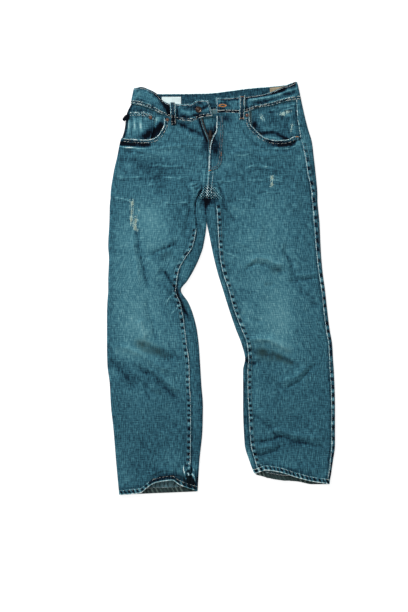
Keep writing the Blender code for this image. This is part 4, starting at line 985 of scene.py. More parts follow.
def cloth(name, patches, wall, finishes, flip=False, closed=False):
    """A closed wall of cloth whose outer face is one or more patches that share their edges."""
    points, uvs, faces, values = [], [], [], {key: [] for key in MARKS}
    start = 0
    for item in patches:
        rows, count = item["xyz"].shape[:2]
        index = start + np.arange(rows * count).reshape(rows, count)
        if closed:
            index = np.hstack([index, index[:, :1]])
        corners = (index[:-1, :-1], index[:-1, 1:], index[1:, 1:], index[1:, :-1])
        quads = np.stack(corners, axis=2).reshape(-1, 4)
        if "keep" in item:
            keep = item["keep"].reshape(-1)
            quads = quads[keep[quads - start].mean(axis=1) > 0]
        faces.append(quads[:, ::-1] if flip else quads)
        points.append(item["xyz"].reshape(-1, 3))
        uvs.append(item["uv"].reshape(-1, 2))
        for key, parts in values.items():
            parts.append(np.broadcast_to(item.get(key, MARKS[key]), (rows, count)).reshape(-1))
        start += rows * count
    points, uvs, faces = np.vstack(points) * MM, np.vstack(uvs) * MM, np.vstack(faces)
    mesh = bpy.data.meshes.new(name)
    mesh.from_pydata(points.tolist(), [], faces.tolist())
    for key, parts in values.items():
        attribute = mesh.attributes.new(key, "FLOAT", "POINT")
        attribute.data.foreach_set("value", np.concatenate(parts).astype(np.float32))
    grain = mesh.uv_layers.new(name="grain")
    corners = np.empty(len(mesh.loops), int)
    mesh.loops.foreach_get("vertex_index", corners)
    grain.data.foreach_set("uv", uvs[corners].astype(np.float32).reshape(-1))
    bm = bmesh.new()
    bm.from_mesh(mesh)
    bmesh.ops.remove_doubles(bm, verts=bm.verts, dist=SAME_POINT)
    bmesh.ops.delete(bm, geom=[v for v in bm.verts if not v.link_faces], context="VERTS")
    for face in bm.faces:
        face.smooth = True
    bm.to_mesh(mesh)
    bm.free()
    ob = put(name, mesh)
    for finish in finishes:
        mesh.materials.append(finish)
    solid = ob.modifiers.new("wall", "SOLIDIFY")
    solid.thickness = wall * MM
    solid.offset = -1
    solid.material_offset = len(finishes) - 1
    plain(ob)
    ob.data.set_sharp_from_angle(angle=CLOTH_SHARP)
    print(f"{name}: {triangles(ob)} triangles")
    return ob


# %% [markdown]
# ## A small language for finishes
# Shader graphs get long when every sum is a node placed by hand. `Value` wraps a socket and knows the usual
# signs, so `1 - mask * 0.5` adds the Math nodes itself, and `Finish.node` adds any other node from its type,
# its settings and its inputs. Colours are mixed with Mix nodes, because a Math node would turn them grey.

# %% A small language for finishes


class Value:
    """A number in a shader, with the ordinary signs of arithmetic."""

    def __init__(self, finish, socket):
        self.finish = finish
        self.socket = socket

    def sum(self, operation, *others):
        return self.finish.node("ShaderNodeMath", {"operation": operation}, dict(enumerate(others)))

    def __add__(self, other):
        return self.sum("ADD", self, other)

    def __sub__(self, other):
        return self.sum("SUBTRACT", self, other)

    def __rsub__(self, other):
        return self.sum("SUBTRACT", other, self)

    def __mul__(self, other):
        return self.sum("MULTIPLY", self, other)

    def __truediv__(self, other):
        return self.sum("DIVIDE", self, other)

    def __pow__(self, other):
        return self.sum("POWER", self, other)

    __radd__ = __add__
    __rmul__ = __mul__

    def between(self, low, high):
        """0 at low, 1 at high, with soft ends."""
        settings = {"interpolation_type": "SMOOTHSTEP"}
        return self.finish.node("ShaderNodeMapRange", settings, dict(enumerate((self, low, high, 0.0, 1.0))))

    def wave(self):
        """A sine that comes round once for every whole number."""
        return self.sum("SINE", self * math.tau)


class Finish:
    """A material that starts as one Principled shader."""

    def __init__(self, name, **constants):
        self.material = bpy.data.materials.new(name)
        self.material.use_nodes = True
        self.tree = self.material.node_tree
        self.shader = self.tree.nodes["Principled BSDF"]
        for key, value in constants.items():
            self.shader.inputs[key.replace("_", " ")].default_value = value

    def plug(self, place, item):
        """Links a value to an input, or sets the input to a number or a colour."""
        if isinstance(item, Value):
            self.tree.links.new(item.socket, place)
        elif isinstance(item, tuple) and len(item) == 3 and place.type == "RGBA":
            place.default_value = (*item, 1.0)
        else:
            place.default_value = item

    def node(self, kind, settings=None, inputs=None, output=0):
        """A new node of that type, as the value at its output."""
        node = self.tree.nodes.new(kind)
        for key, value in (settings or {}).items():
            setattr(node, key, value)
        for key, item in (inputs or {}).items():
            self.plug(node.inputs[key], item)
        return Value(self, node.outputs[output])

    def ramp(self, factor, stops):
        """A colour from a number, with stops as (place, colour)."""
        node = self.tree.nodes.new("ShaderNodeValToRGB")
        elements = node.color_ramp.elements
        while len(elements) < len(stops):
            elements.new(0.5)
        for element, (place, colour) in zip(elements, stops):
            element.position = place
            element.color = (*colour, 1.0)
        self.plug(node.inputs[0], factor)
        return Value(self, node.outputs[0])

    def mix(self, factor, a, b):
        """One colour turning into another. A Mix node keeps its colours at inputs 6 and 7 and output 2."""
        return self.node("ShaderNodeMix", {"data_type": "RGBA"}, {0: factor, 6: a, 7: b}, 2)

    def grain(self):
        """The place in the cloth's grain, in metres, and its two distances, across and down."""
        place = self.node("ShaderNodeUVMap", {"uv_map": "grain"})
        outputs = self.node("ShaderNodeSeparateXYZ", inputs={"Vector": place}).socket.node.outputs
        return place, Value(self, outputs[0]), Value(self, outputs[1])

    def attribute(self, name):
        """What the cloth says at each point."""
        return self.node("ShaderNodeAttribute", {"attribute_name": name}, output="Fac")

    def noise(self, where, scale, detail=2.0, stretch=(1, 1, 1)):
        """Noise from 0 to 1 with that many patches to a metre."""
        place = self.node("ShaderNodeMapping", inputs={"Vector": where, "Scale": stretch})
        inputs = {"Vector": place, "Scale": scale, "Detail": detail, "Roughness": 0.55}
        return self.node("ShaderNodeTexNoise", {"noise_dimensions": "3D"}, inputs, "Fac")

    def bump(self, height, strength, distance):
        inputs = {"Height": height, "Strength": strength, "Distance": distance}
        normal = self.node("ShaderNodeBump", inputs=inputs)
        self.plug(self.shader.inputs["Normal"], normal)

    def set(self, **links):
        """Gives the shader its last inputs, and hands over the material."""
        for key, item in links.items():
            self.plug(self.shader.inputs[key.replace("_", " ")], item)
        return self.material


# %% [markdown]
# ## Denim
# Denim is woven with blue warp threads along the leg and white weft threads across it, so it looks blue
# outside and pale inside. Its threads are uneven: thick slubs run for a few centimetres both ways and give
# the crosshatch that old denim shows. The finish adds that, the fine slanted ribs of the twill and a soft
# blotchiness to the colour value of each point, and one ramp turns the total into a colour, from raw indigo
# to the white of a worn edge. Besides dye and wear, that value holds painted shade and painted highlights
# from the folds, and the darkest stops of the ramp serve its painted shadows. Near a rip the warp threads
# break up and the white weft shows.

# %% Denim
DYE_LOW, DYE_HIGH = -2.2, 3.0
DYES = (
    (-2.2, (0.0004, 0.0014, 0.0040)),
    (-1.5, (0.0026, 0.0110, 0.0230)),
    (-0.9, (0.0088, 0.0360, 0.0570)),
    (-0.4, (0.0180, 0.0680, 0.0960)),
    (0.0, (0.0270, 0.1000, 0.1400)),
    (0.5, (0.0470, 0.1520, 0.1930)),
    (1.0, (0.0800, 0.2120, 0.2520)),
    (1.7, (0.1900, 0.3600, 0.3850)),
    (3.0, (0.7200, 0.7900, 0.7700)),
)
OLIVE = (0.0200, 0.0500, 0.0550)
WEFT = (0.34, 0.47, 0.42)
SHADOW = (0.006, 0.014, 0.018)
# patches of noise to a metre
THREADS = 430.0
FLECKS = 420.0
BLOTCHES = 26.0
AREAS = 38.0
BREAKS = 170.0
# pitches in metres
RIB_PITCH = 0.00125
SLUB_PITCH = 0.0046
PUCKER_PITCHES = (0.0068, 0.0064)
STRAND_PITCH = 0.0013
SLOT_PITCH = 0.0122


def worn_lines(finish, dye_and_shade, grain):
    """The pale worn line along a turned edge, and the blue blocks between the puckers of a felled seam."""
    edge, fell, rope = (finish.attribute(name) for name in ("edge", "fell", "rope"))
    broken = finish.noise(grain, BREAKS, 2.0)
    worn = edge.between(1.7, 0.5) * (0.6 + broken.between(0.36, 0.56) * 1.4)
    groove = edge.between(1.5, 2.3) * edge.between(4.6, 3.0) * 0.35
    uneven = broken * 1.4 - 0.7
    ragged = fell + (broken - 0.5) * 5.0
    block = (uneven - rope).between(-0.10, 0.45) * ragged.between(0.8, 2.2) * ragged.between(11.0, 8.0)
    crest = (rope + uneven).between(0.2, 0.7) * fell.between(1.2, 2.0) * fell.between(10.5, 9.0)
    far_line = fell.between(8.6, 9.2) * fell.between(10.4, 9.8) * broken.between(0.40, 0.52)
    return dye_and_shade + worn - groove - block * (1.0 + broken * 1.1) + crest * 0.7 + far_line * 0.8


def denim(name, shift=0.0, slub=0.34):
    """Blue denim. Shift makes the dye paler or darker, and slub is how uneven its threads are."""
    finish = Finish(name, Roughness=0.9, Sheen_Weight=0.02, Sheen_Roughness=0.5, Specular_IOR_Level=0.05)
    grain, across, down = finish.grain()
    warp = finish.noise(grain, THREADS, 1.0, (1.0, 0.14, 1.0))
    weft = finish.noise(grain, THREADS, 1.0, (0.16, 1.0, 1.0))
    fleck = finish.noise(grain, FLECKS, 1.0, (1.0, 0.8, 1.0))
    blotch = finish.noise(grain, BLOTCHES, 3.0)
    where = finish.noise(grain, AREAS, 2.0)
    rib = ((across + down * 0.62) / RIB_PITCH).wave()
    streaks = (warp.between(0.30, 0.74) - 0.45) * (slub * 3.1)
    streaks = streaks + (weft.between(0.32, 0.74) - 0.44) * (slub * 2.0)
    upright = (across / SLUB_PITCH + warp * 0.7).wave() * where.between(0.35, 0.65)
    sideways = (down / SLUB_PITCH + weft * 0.7).wave() * where.between(0.65, 0.35)
    grainy = streaks + (fleck - 0.5) * 0.9 + (blotch - 0.5) * 0.2 + rib * 0.08
    grainy = grainy + upright * 0.30 + sideways * 0.26
    dye_and_shade = worn_lines(finish, finish.attribute("fade") + shift, grain)
    dye_and_shade = dye_and_shade + grainy * (1.0 - finish.attribute("fade").between(0.1, 1.1) * 0.38)
    pucker = ((across + down) / PUCKER_PITCHES[0] + where * 2.0 + warp * 1.6).wave()
    pucker = pucker - ((across - down) / PUCKER_PITCHES[1] + blotch * 2.0 + weft * 1.6).wave()
    dye_and_shade = dye_and_shade + finish.attribute("speckle") * (pucker * 1.7 - 0.5 + (fleck - 0.5) * 3.4)
    scaled = (dye_and_shade - DYE_LOW) / (DYE_HIGH - DYE_LOW)
    stops = [((place - DYE_LOW) / (DYE_HIGH - DYE_LOW), colour) for place, colour in DYES]
    colour = finish.ramp(scaled, stops)
    dirt = finish.attribute("dirt") * (0.55 + (blotch - 0.5) * 1.6 + (weft - 0.5) * 0.8)
    colour = finish.mix(dirt.between(0.02, 0.75), colour, OLIVE)
    bare = finish.attribute("bare")
    strands = (down / STRAND_PITCH + (fleck - 0.5) * 1.4).wave() * 0.5 + 0.5
    broken = (bare + (warp - 0.5) * 2.6 + (fleck - 0.5) * 2.6 - 0.62).between(0.0, 0.25)
    colour = finish.mix(broken * bare.between(0.05, 0.3) * (0.5 + strands * 0.5), colour, WEFT)
    relief = rib * 0.22 + warp * 0.9 + weft * 0.8 + fleck * 0.5
    finish.bump(relief, 0.6, 0.0007)
    return finish.set(Base_Color=colour)


def cloth_inside(name, colour, spread=0.25, roping=False):
    """The reverse of the denim, or a plain woven tape or label. A hem shows its roping from inside too."""
    finish = Finish(name, Roughness=0.92, Sheen_Weight=0.15, Specular_IOR_Level=0.2)
    grain, across, _ = finish.grain()
    warp = finish.noise(grain, FLECKS, 2.0, (1.0, 0.06, 1.0))
    weft = finish.noise(grain, FLECKS, 2.0, (0.06, 1.0, 1.0))
    blotch = finish.noise(grain, 30.0, 3.0)
    amount = (warp - 0.5) * 1.6 + (weft - 0.5) * 1.6 + (blotch - 0.5) * 1.2
    darker = tuple(c * (1 - spread) for c in colour)
    paler = tuple(c * (1 + 1.6 * spread) for c in colour)
    shade = finish.mix((amount + 0.5).between(0.0, 1.0), darker, paler)
    slots = (across / SLOT_PITCH + blotch * 2.0).wave() + (weft - 0.5) * 1.2
    shade = finish.mix(slots.between(0.0, 0.7) * finish.attribute("slots") * 0.9, shade, SHADOW)
    if roping:
        rope = finish.attribute("rope")
        shade = finish.mix((amount * 0.4 - rope).between(-0.2, 0.4) * 0.85, shade, (0.004, 0.010, 0.012))
        shade = finish.mix((rope + amount * 0.3).between(0.3, 0.9) * 0.5, shade, (0.13, 0.17, 0.15))
    finish.bump(warp + weft, 0.5, 0.0006)
    return finish.set(Base_Color=shade)


BLUE = denim("denim")
DARK_BLUE = denim("denim, less worn", shift=-0.55)
HEM_BLUE = denim("denim, hem", shift=-0.12, slub=0.4)
REVERSE = cloth_inside("denim, reverse", (0.060, 0.120, 0.135))
# The reverse of a hem is painted far darker than the plain reverse: painted shade for the inside of the back
# hem, seen under the lifted right hem.
SHADED_HEM_REVERSE = cloth_inside("denim, shaded reverse of a hem", (0.015, 0.032, 0.031), 0.4, roping=True)
print("denims:", BLUE.name, DARK_BLUE.name, HEM_BLUE.name, "with", REVERSE.name)

# %% [markdown]
# ## Front panels
# A front panel runs from the side seam to the inseam and from the hem to the waist. Its top is not level:
# the pocket mouth is cut out of its corner and the fly is its inner edge, so above the hips the columns
# spread along the mouth and then along the waist seam.

# %% Front panels
TOP_ROWS = 30


def front_columns(leg):
    """The columns of a front, and which of them meets the outer end of the pocket mouth."""
    if leg.on_left:
        return span(leg, "front", "outseam", "inseam", FRONT_PITCH, gap_start=True, gap_end=True), 0
    under = span(leg, "back", "outseam", "outer", BACK_PITCH, round_end=True, gap_start=True)[:-1]
    front = span(leg, "front", "outer", "inseam", FRONT_PITCH, round_start=True, gap_end=True)
    return under + front, len(under) + len(TURN_ANGLES)


def front_panel(leg):
    """A front panel with its rips. Above the hips the rows bend from level to the shape of the top edge."""
    columns, corner_column = front_columns(leg)
    low = meeting(leg, columns, leg.hems, HEM_HEIGHT + GAP)
    ys = rows_between(low, level(columns, PATCH_LOW), FRONT_PITCH)[:-1]
    straight = rows_between(level(columns, PATCH_LOW), level(columns, PATCH_HIGH), FRONT_PITCH)
    ys = np.vstack([ys, straight])
    x = across(leg, columns, ys)

    mouth, waist = leg.mouth, smooth(WAISTS[leg.side])
    corner = mouth[-1, 0]
    fly_x = FLY_EDGES[leg.side][-1][1] - leg.inward * GAP
    spread = len(columns) - corner_column - 1
    in_mouth = int(spread * abs(corner - mouth[0, 0]) / abs(fly_x - mouth[0, 0]))
    edge = [(column_x(leg, column, mouth[0, 1]), mouth[0, 1]) for column in columns[: corner_column + 1]]
    edge[-1] = tuple(mouth[0])
    travelled = travelled_along(mouth)
    for share in np.linspace(0, 1, in_mouth + 1)[1:]:
        place = share * travelled[-1]
        edge.append((np.interp(place, travelled, mouth[:, 0]), np.interp(place, travelled, mouth[:, 1])))
    for share in np.linspace(0, 1, spread - in_mouth + 1)[1:]:
        place = corner + (fly_x - corner) * share
        edge.append((place, float(waist(place)) + 2.0))
    edge = np.array(edge, float)
    first = np.stack([x[-1], ys[-1]], axis=1)
    pull = np.maximum(0.0, np.arange(len(columns)) / (len(columns) - 1) * 2 - 1) ** 3
    fly = smooth(FLY_EDGES[leg.side])
    top_x, top_y = [], []
    for share in np.linspace(0, 1, TOP_ROWS)[1:]:
        place = first + (edge - first) * share
        bow = float(fly(place[-1, 1])) - leg.inward * GAP - place[-1, 0]
        top_x.append(place[:, 0] + pull * bow)
        top_y.append(place[:, 1])
    x, ys = np.vstack([x, top_x]), np.vstack([ys, top_y])
    cut = patch(leg, columns, x, ys, cut_rips=True)
    return cloth(f"front_{leg.side}", [cut], DENIM, (BLUE, REVERSE), leg.on_left)


fronts = {side: front_panel(leg) for side, leg in legs.items()}

# %% [markdown]
# ## Back panels and yokes
# A back panel starts at the inseam on the front of the leg, turns over the inner fold, and crosses the
# underside to the side seam. Above the fork it divides: a tongue runs up to the crotch in front, and the
# seat goes on underneath to the yoke. The yoke is the shaped strip between the seat and the waistband.

# %% Back panels and yokes
SEAT_JOG = 1.2  # beside the seam in front, so that the two do not lie on one line
TONGUE_TOP = 226.0
# the band at the back and round its folds: top x, top y, lower x, lower y
BAND_BACK = (
    (-190, 490, -192, 448), (-150, 486, -150, 445), (-45, 487, -45, 446), (72, 500, 76, 458),
    (160, 508, 166, 466),
)
BAND_FOLD_RIGHT = (-218, 500, -226, 461)
BAND_FOLD_LEFT = (190, 516, 201, 471)


def strip_columns(leg):
    """The strip of a back panel that shows in front."""
    return span(leg, "front", "inseam", "inner", FRONT_PITCH, round_end=True, gap_start=True)


def under_columns(leg):
    """The rest of a back panel, as far as the side seam."""
    if not leg.on_left:
        return span(leg, "back", "inner", "outseam", BACK_PITCH, round_start=True, gap_end=True)
    under = span(leg, "back", "inner", "outer", BACK_PITCH, round_start=True, round_end=True)
    return under + span(leg, "front", "outer", "outseam", FRONT_PITCH, round_start=True, gap_end=True)[1:]


def back_panel(leg):
    """A back panel: one patch down the leg, and above the fork one for the tongue and one for the seat."""
    strip, under = strip_columns(leg), under_columns(leg)
    columns = strip[:-1] + under
    low = meeting(leg, columns, leg.hems, HEM_HEIGHT + GAP)
    ys = rows_between(low, level(columns, PATCH_LOW), BACK_PITCH)[:-1]
    straight = rows_between(level(columns, PATCH_LOW), level(columns, SADDLE_Y), BACK_PITCH)
    ys = np.vstack([ys, straight])
    patches = [patch(leg, columns, across(leg, columns, ys), ys)]
    seam = smooth(YOKE_SEAMS[leg.side])
    seat_top = meeting(leg, under, {"front": seam, "back": seam}, -GAP)
    tops = ((strip, level(strip, TONGUE_TOP), -1, 0.0), (under, seat_top, 0, SEAT_JOG))
    for part, top, at_centre, jog in tops:
        ys = rows_between(level(part, SADDLE_Y), top, BACK_PITCH)
        x = across(leg, part, ys)
        x[1:, at_centre] = CENTRE - leg.inward * GAP / 2
        x[1:] += jog * np.clip(1 - np.abs(x[1:] - CENTRE) / 12, 0, 1)
        patches.append(patch(leg, part, x, ys))
    return cloth(f"back_{leg.side}", patches, DENIM, (BLUE, REVERSE), leg.on_left)


def yoke(leg):
    """The strip between the seat and the waistband. On the left it turns over to the side seam in front."""
    if not leg.on_left:
        columns = span(leg, "back", "inner", "outseam", BACK_PITCH, gap_start=True, gap_end=True)
    else:
        columns = span(leg, "back", "inner", "outer", BACK_PITCH, round_end=True, gap_start=True)
        columns += span(leg, "front", "outer", "outseam", FRONT_PITCH, round_start=True, gap_end=True)[1:]
    seam = smooth(YOKE_SEAMS[leg.side])
    low = meeting(leg, columns, {"front": seam, "back": seam})
    band_low = smooth([(row[2], row[3]) for row in (*BAND_BACK, BAND_FOLD_LEFT, BAND_FOLD_RIGHT)])
    high = meeting(leg, columns, {"back": band_low, "front": smooth(WAISTS[leg.side])}, -GAP)
    ys = rows_between(low, high, BACK_PITCH)
    cut = patch(leg, columns, across(leg, columns, ys), ys)
    return cloth(f"yoke_piece_{leg.side}", [cut], DENIM, (BLUE, REVERSE), leg.on_left)


backs = {side: back_panel(leg) for side, leg in legs.items()}
yokes = {side: yoke(leg) for side, leg in legs.items()}

# %% [markdown]
# ## Hems
# A hem is the leg's end turned up twice and sewn down, so it is three layers thick and stiffer than the
# leg. Washing twists it into slanted ridges, pale on top and dark between. Both fronts curl up a little and
# show the inside of the back hem; under the right one's arch the front hem carries a painted shadow and the
# inside is painted in shade.

# %% Hems
HEM_WALL = 3.0
HEM_TWIST = 10.5
HEM_SHARES = (0.0, 0.04, 0.1, 0.18, 0.3, 0.42, 0.55, 0.68, 0.8, 0.9, 0.97, 1.0)


def hem(leg):
    """A ring of three layers round the end of a leg. The right one is arched and crushed at its inner end,
    darkened there with painted shadow and painted shade.
    """
    columns = front_columns(leg)[0][:-1] + strip_columns(leg)[:-1] + under_columns(leg)[:-1]
    low = meeting(leg, columns, leg.hems)
    high = meeting(leg, columns, leg.hems, HEM_HEIGHT)
    shares = np.array(HEM_SHARES)[:, None]
    ys = low + (high - low) * shares
    x = across(leg, columns, ys)
    item = patch(leg, columns, x, ys)
    up = shares * HEM_HEIGHT
    on_top = np.array([face == "front" for face, *_ in columns]) * leg.roundness(x, ys)
    rope = roped(x + 0.5 * up, HEM_TWIST, 51)
    item["xyz"][:, :, 2] += on_top * (0.7 * rise(HEM_HEIGHT - up, 1.5) + 0.45 * rope * bell(up - 6, 6.0))
    item["xyz"][:, :, 2] -= on_top * (1 - quarter_round(up, 1.6))
    blocks = rise(np.clip(0.15 - rope, 0, 1), 0.4)
    arch, crushed = ((on_top > 0) * (not leg.on_left) * part for part in (
        rise(x + 186, 14) * rise(-96 - x, 14), rise(x + 98, 10),
    ))
    # Painted shadow under the arch, and painted shade over the crushed end.
    item["fade"] += 0.35 * (1 - arch) - 1.3 * arch * rise(up - 2.6, 2.0) - 0.9 * crushed
    rope, blocks = rope * (1 - arch), blocks * (1 - arch)
    item["fade"] += np.maximum(0, rope) - 2.4 * blocks * bell(up - 6.5, 4.5)
    item["fade"] += 1.7 * bell(up - 1.6, 1.5) + 0.9 * (1 - arch) * bell(up - 11.4, 1.2)
    item["edge"] = 0.7 * up + 0 * x
    item["rope"] = rope
    item["dirt"] = item["dirt"] + 0.15
    return cloth(f"hem_piece_{leg.side}", [item], HEM_WALL, (HEM_BLUE, SHADED_HEM_REVERSE), leg.on_left, closed=True)


hems = {side: hem(leg) for side, leg in legs.items()}

# %% [markdown]
# ## Waistband
# The waistband is one long strip, folded over at its top edge and sewn to the waist, with its two ends free
# at the open fly. It is easiest to draw as it is cut: along the band and across it. `Band` turns those two
# distances into a place, a direction outwards and a colour value, which holds painted shade and painted
# shadows as well as dye, and the stitching uses the same call.

# %% Waistband
BAND_HEIGHT = 42.0
BAND_WALL = 2.5
BAND_TOP = float(front_top(460)) + BAND_PROUD
# top x, top y, lower x, lower y
BAND_FRONT_RIGHT = (
    (-32, 469, -20, 429), (-55, 470, -45, 426), (-78, 460, -75, 416), (-102, 460, -108, 419),
    (-128, 461, -135, 430), (-145, 469, -155, 438), (-160, 486, -172, 446), (-178, 496, -190, 454),
    (-200, 503, -208, 459),
)
BAND_FRONT_LEFT = (
    (172, 509, 180, 469), (148, 500, 152, 464), (122, 489, 128, 457), (85, 482, 92, 450), (48, 479, 48, 436),
    (10, 475, 16, 438), (-13, 476, -11, 436),
)
# Creases of the band in front: half width, height, colour change, points. The dark rows on either side of
# each front loop are painted shadows of the loops, the dark row near the lower edge by the buttonhole end is
# a painted shadow, and the darker troughs are partly painted shade.
BAND_CREASES = (
    (5, -1.8, -1.15, ((-156, 484), (-146, 466), (-134, 447), (-118, 428))),
    (9, 1.8, 0.20, ((-184, 484), (-168, 464), (-152, 448))),
    (4, 1.0, 0.15, ((-140, 462), (-126, 448), (-116, 438))),
    (4.5, -1.8, -1.30, ((66, 477), (95, 481), (120, 483), (137, 488), (154, 496))),
    (2.4, 1.5, 1.00, ((70, 470), (87, 472), (110, 476), (122, 479), (142, 484), (162, 491), (187, 498))),
    (3.5, -1.2, -0.70, ((84, 464), (110, 468), (134, 474), (160, 483), (182, 489))),
    (2.4, 1.2, 0.70, ((90, 456), (102, 458), (120, 463), (142, 469), (177, 479), (194, 484))),
    (3.5, -1.2, -0.60, ((-9, 441), (14, 443), (46, 442))),
    (4, 0.9, 0.45, ((12, 450), (28, 466), (42, 466))),
    (3, -1.0, -0.40, ((42, 480), (41, 460), (42, 440))),
    (3, -1.0, -1.10, ((63, 482), (63, 462), (64, 444))),
    (3.5, -1.2, -1.20, ((-132, 462), (-131, 446), (-130, 432))),
    (3.0, -1.0, -0.90, ((-108, 460), (-109, 440), (-109, 420))),
    (5, -1.2, -0.60, ((-94, 452), (-80, 450), (-66, 452), (-50, 462))),
    (4, 1.3, 0.55, ((-98, 442), (-82, 438), (-64, 440))),
    (4, -1.2, -1.00, ((-98, 430), (-82, 426), (-66, 430), (-50, 436))),
    (4, 1.4, 0.70, ((-62, 434), (-48, 440), (-34, 446))),
    (3.5, -1.2, -1.00, ((-60, 446), (-46, 449), (-34, 456))),
    (5, 1.0, 0.20, ((-204, 492), (-212, 476), (-216, 466))),
    (9, -1.2, -0.45, ((-138, 458), (-122, 441), (-108, 424))),
    (5, -1.2, -0.90, ((-133, 441), (-127, 432), (-122, 424))),
    (5, -0.8, -1.10, ((-206, 504), (-184, 500), (-166, 488), (-150, 470))),
    (5, -1.0, -0.90, ((6, 472), (22, 470), (40, 472))),
    (6, -1.0, -1.50, ((150, 495), (164, 504), (178, 511))),
    (4, 0.5, 0.60, ((-108, 470), (-92, 471), (-76, 474))),
    (4, 0.5, 0.60, ((14, 449), (30, 448), (44, 450))),
    (5, 0.4, 0.50, ((-216, 462), (-204, 458), (-192, 455))),
    (4, 0.6, 0.60, ((118, 474), (136, 478), (152, 484))),
    (4, 0.4, 0.50, ((-74, 428), (-64, 427), (-54, 430))),
    (7, -0.4, -0.40, ((84, 460), (98, 461), (112, 464))),
    (4, -1.0, -0.80, ((-66, 434), (-56, 428), (-40, 432))),
    (6, -0.6, -0.60, ((-68, 462), (-64, 448), (-60, 436))),
    (5, -0.8, -0.20, ((-2, 442), (14, 446), (30, 444))),
    (7, -0.4, -0.40, ((-52, 452), (-40, 445), (-30, 436))),
    (6, -0.8, -0.20, ((2, 438), (50, 441), (100, 456), (150, 468))),
    (7, -0.8, -2.20, ((172, 513), (190, 511), (204, 508))),
)
BUTTONHOLE_AT = (4.0, 456.3)


def band_fold(end, way, angles):
    """The sections round a folded end of the band, from one face to the other."""
    radius = (BAND_TOP - HIP_BASE) / 2
    top_x, top_y, low_x, low_y = end
    rows = []
    for angle in angles:
        shift = way * radius * (1 - math.cos(angle))
        height = HIP_BASE + radius * (1 + math.sin(angle))
        rows.append((top_x + shift, top_y, low_x + shift, low_y, height))
    return rows


class Band:
    """The waistband as it is cut: distances along it and up from its lower edge."""

    def __init__(self):
        turn = np.radians(np.arange(75, -76, -15))
        sections = [(*row, BAND_TOP) for row in BAND_FRONT_RIGHT] + band_fold(BAND_FOLD_RIGHT, 1, turn)
        sections += [(*row, HIP_BASE) for row in BAND_BACK] + band_fold(BAND_FOLD_LEFT, -1, turn[::-1])
        sections += [(*row, BAND_TOP) for row in BAND_FRONT_LEFT]
        top_x, top_y, low_x, low_y, z = np.array(sections, float).T
        along = travelled_along(np.stack([(top_x + low_x) / 2, (top_y + low_y) / 2, z], axis=1))
        self.length = float(along[-1])
        self.lower = [smooth(list(zip(along, values))) for values in (low_x, low_y, z)]
        self.upper = [smooth(list(zip(along, values))) for values in (top_x, top_y, z)]
        self.creases = [(width, height, dye_and_shade, drawn(line)) for width, height, dye_and_shade, line in BAND_CREASES]
        self.front_ends = (along[len(BAND_FRONT_RIGHT) - 1], along[-len(BAND_FRONT_LEFT)])

    def place(self, along, up):
        """A place on the smooth strip."""
        share = np.asarray(up) / BAND_HEIGHT
        parts = [low(along) + (high(along) - low(along)) * share for low, high in zip(self.lower, self.upper)]
        return np.stack(parts, axis=-1)

    def outwards(self, along, up):
        """The direction away from the band's outer face."""
        lengthwise = self.place(along + 0.5, up) - self.place(along - 0.5, up)
        upwards = self.place(along, up + 0.5) - self.place(along, up - 0.5)
        normal = np.cross(upwards, lengthwise)
        return normal / np.linalg.norm(normal, axis=-1, keepdims=True)

    def surface(self, along, up):
        """Place on the outer face, direction outwards and colour value, with painted shade and shadows in it.
        """
        from_top, from_end = BAND_HEIGHT - up, np.minimum(along, self.length - along)
        low_rope, top_rope = roped(along, 8.5, 61), roped(along + 3 * up / 10, 10.0, 63)
        height = 0.30 * low_rope * bell(up - 4, 7) + 0.18 * top_rope * bell(from_top - 4, 6)
        height = height - 0.35 * bell(up - 2.6, 1.1) - 0.35 * bell(from_top - 3.4, 1.1)
        edge = np.minimum(np.minimum(from_top, up), from_end)
        height = height - 0.9 * (1 - quarter_round(edge, 1.5))
        height = height + 0.35 * patchy(along, up, 34.0, 64) + 0.15 * patchy(along, up, 13.0, 65)
        dye_and_shade = -0.13 + (0.30 * np.maximum(0, low_rope) - 0.7 * np.maximum(0, -low_rope)) * bell(up - 5, 5)
        dye_and_shade = dye_and_shade + 0.22 * top_rope * bell(from_top - 6, 5) + 0.12 * patchy(along, up, 26.0, 66)
        rubbed = 1 + 0.6 * patchy(along, up, 11.0, 69)
        dye_and_shade = dye_and_shade - 1.3 * rubbed * bell(up - 5.0, 1.5) + 0.9 * rubbed * bell(up - 8.6, 1.5)
        dye_and_shade = dye_and_shade - 0.8 * bell(up - 11.5, 1.8) - 0.15 * bell(from_top - 5.0, 1.8)
        place = self.place(along, up)
        front = (along < self.front_ends[0] + 14) | (along > self.front_ends[1] - 14)
        for width, tall, tone, line in self.creases:
            distance, _ = near(place[..., 0], place[..., 1], line, 3 * width)
            shape = bell(distance, width) * front
            height, dye_and_shade = height + tall * shape, dye_and_shade + 1.4 * tone * shape
        dye_and_shade = dye_and_shade + front * (0.35 * patchy(along, up, 9.0, 67) + 0.3 * patchy(along, 2 * up, 6.0, 68))
        normal = self.outwards(along, up)
        hole = place[..., :2] - np.array(BUTTONHOLE_AT)
        around = np.hypot(hole[..., 0] / 15, hole[..., 1] / 7.5)
        height, dye_and_shade = height + 0.5 * bell(around - 0.9, 0.35), dye_and_shade - 1.2 * bell(around - 0.9, 0.25)
        # The slit of the buttonhole is painted dark: painted shade in place of an opening.
        dye_and_shade = dye_and_shade - 1.6 * bell(np.hypot(hole[..., 0] / 7, hole[..., 1] / 1.6), 0.8)
        return place + normal * height[..., None], normal, dye_and_shade


band = Band()


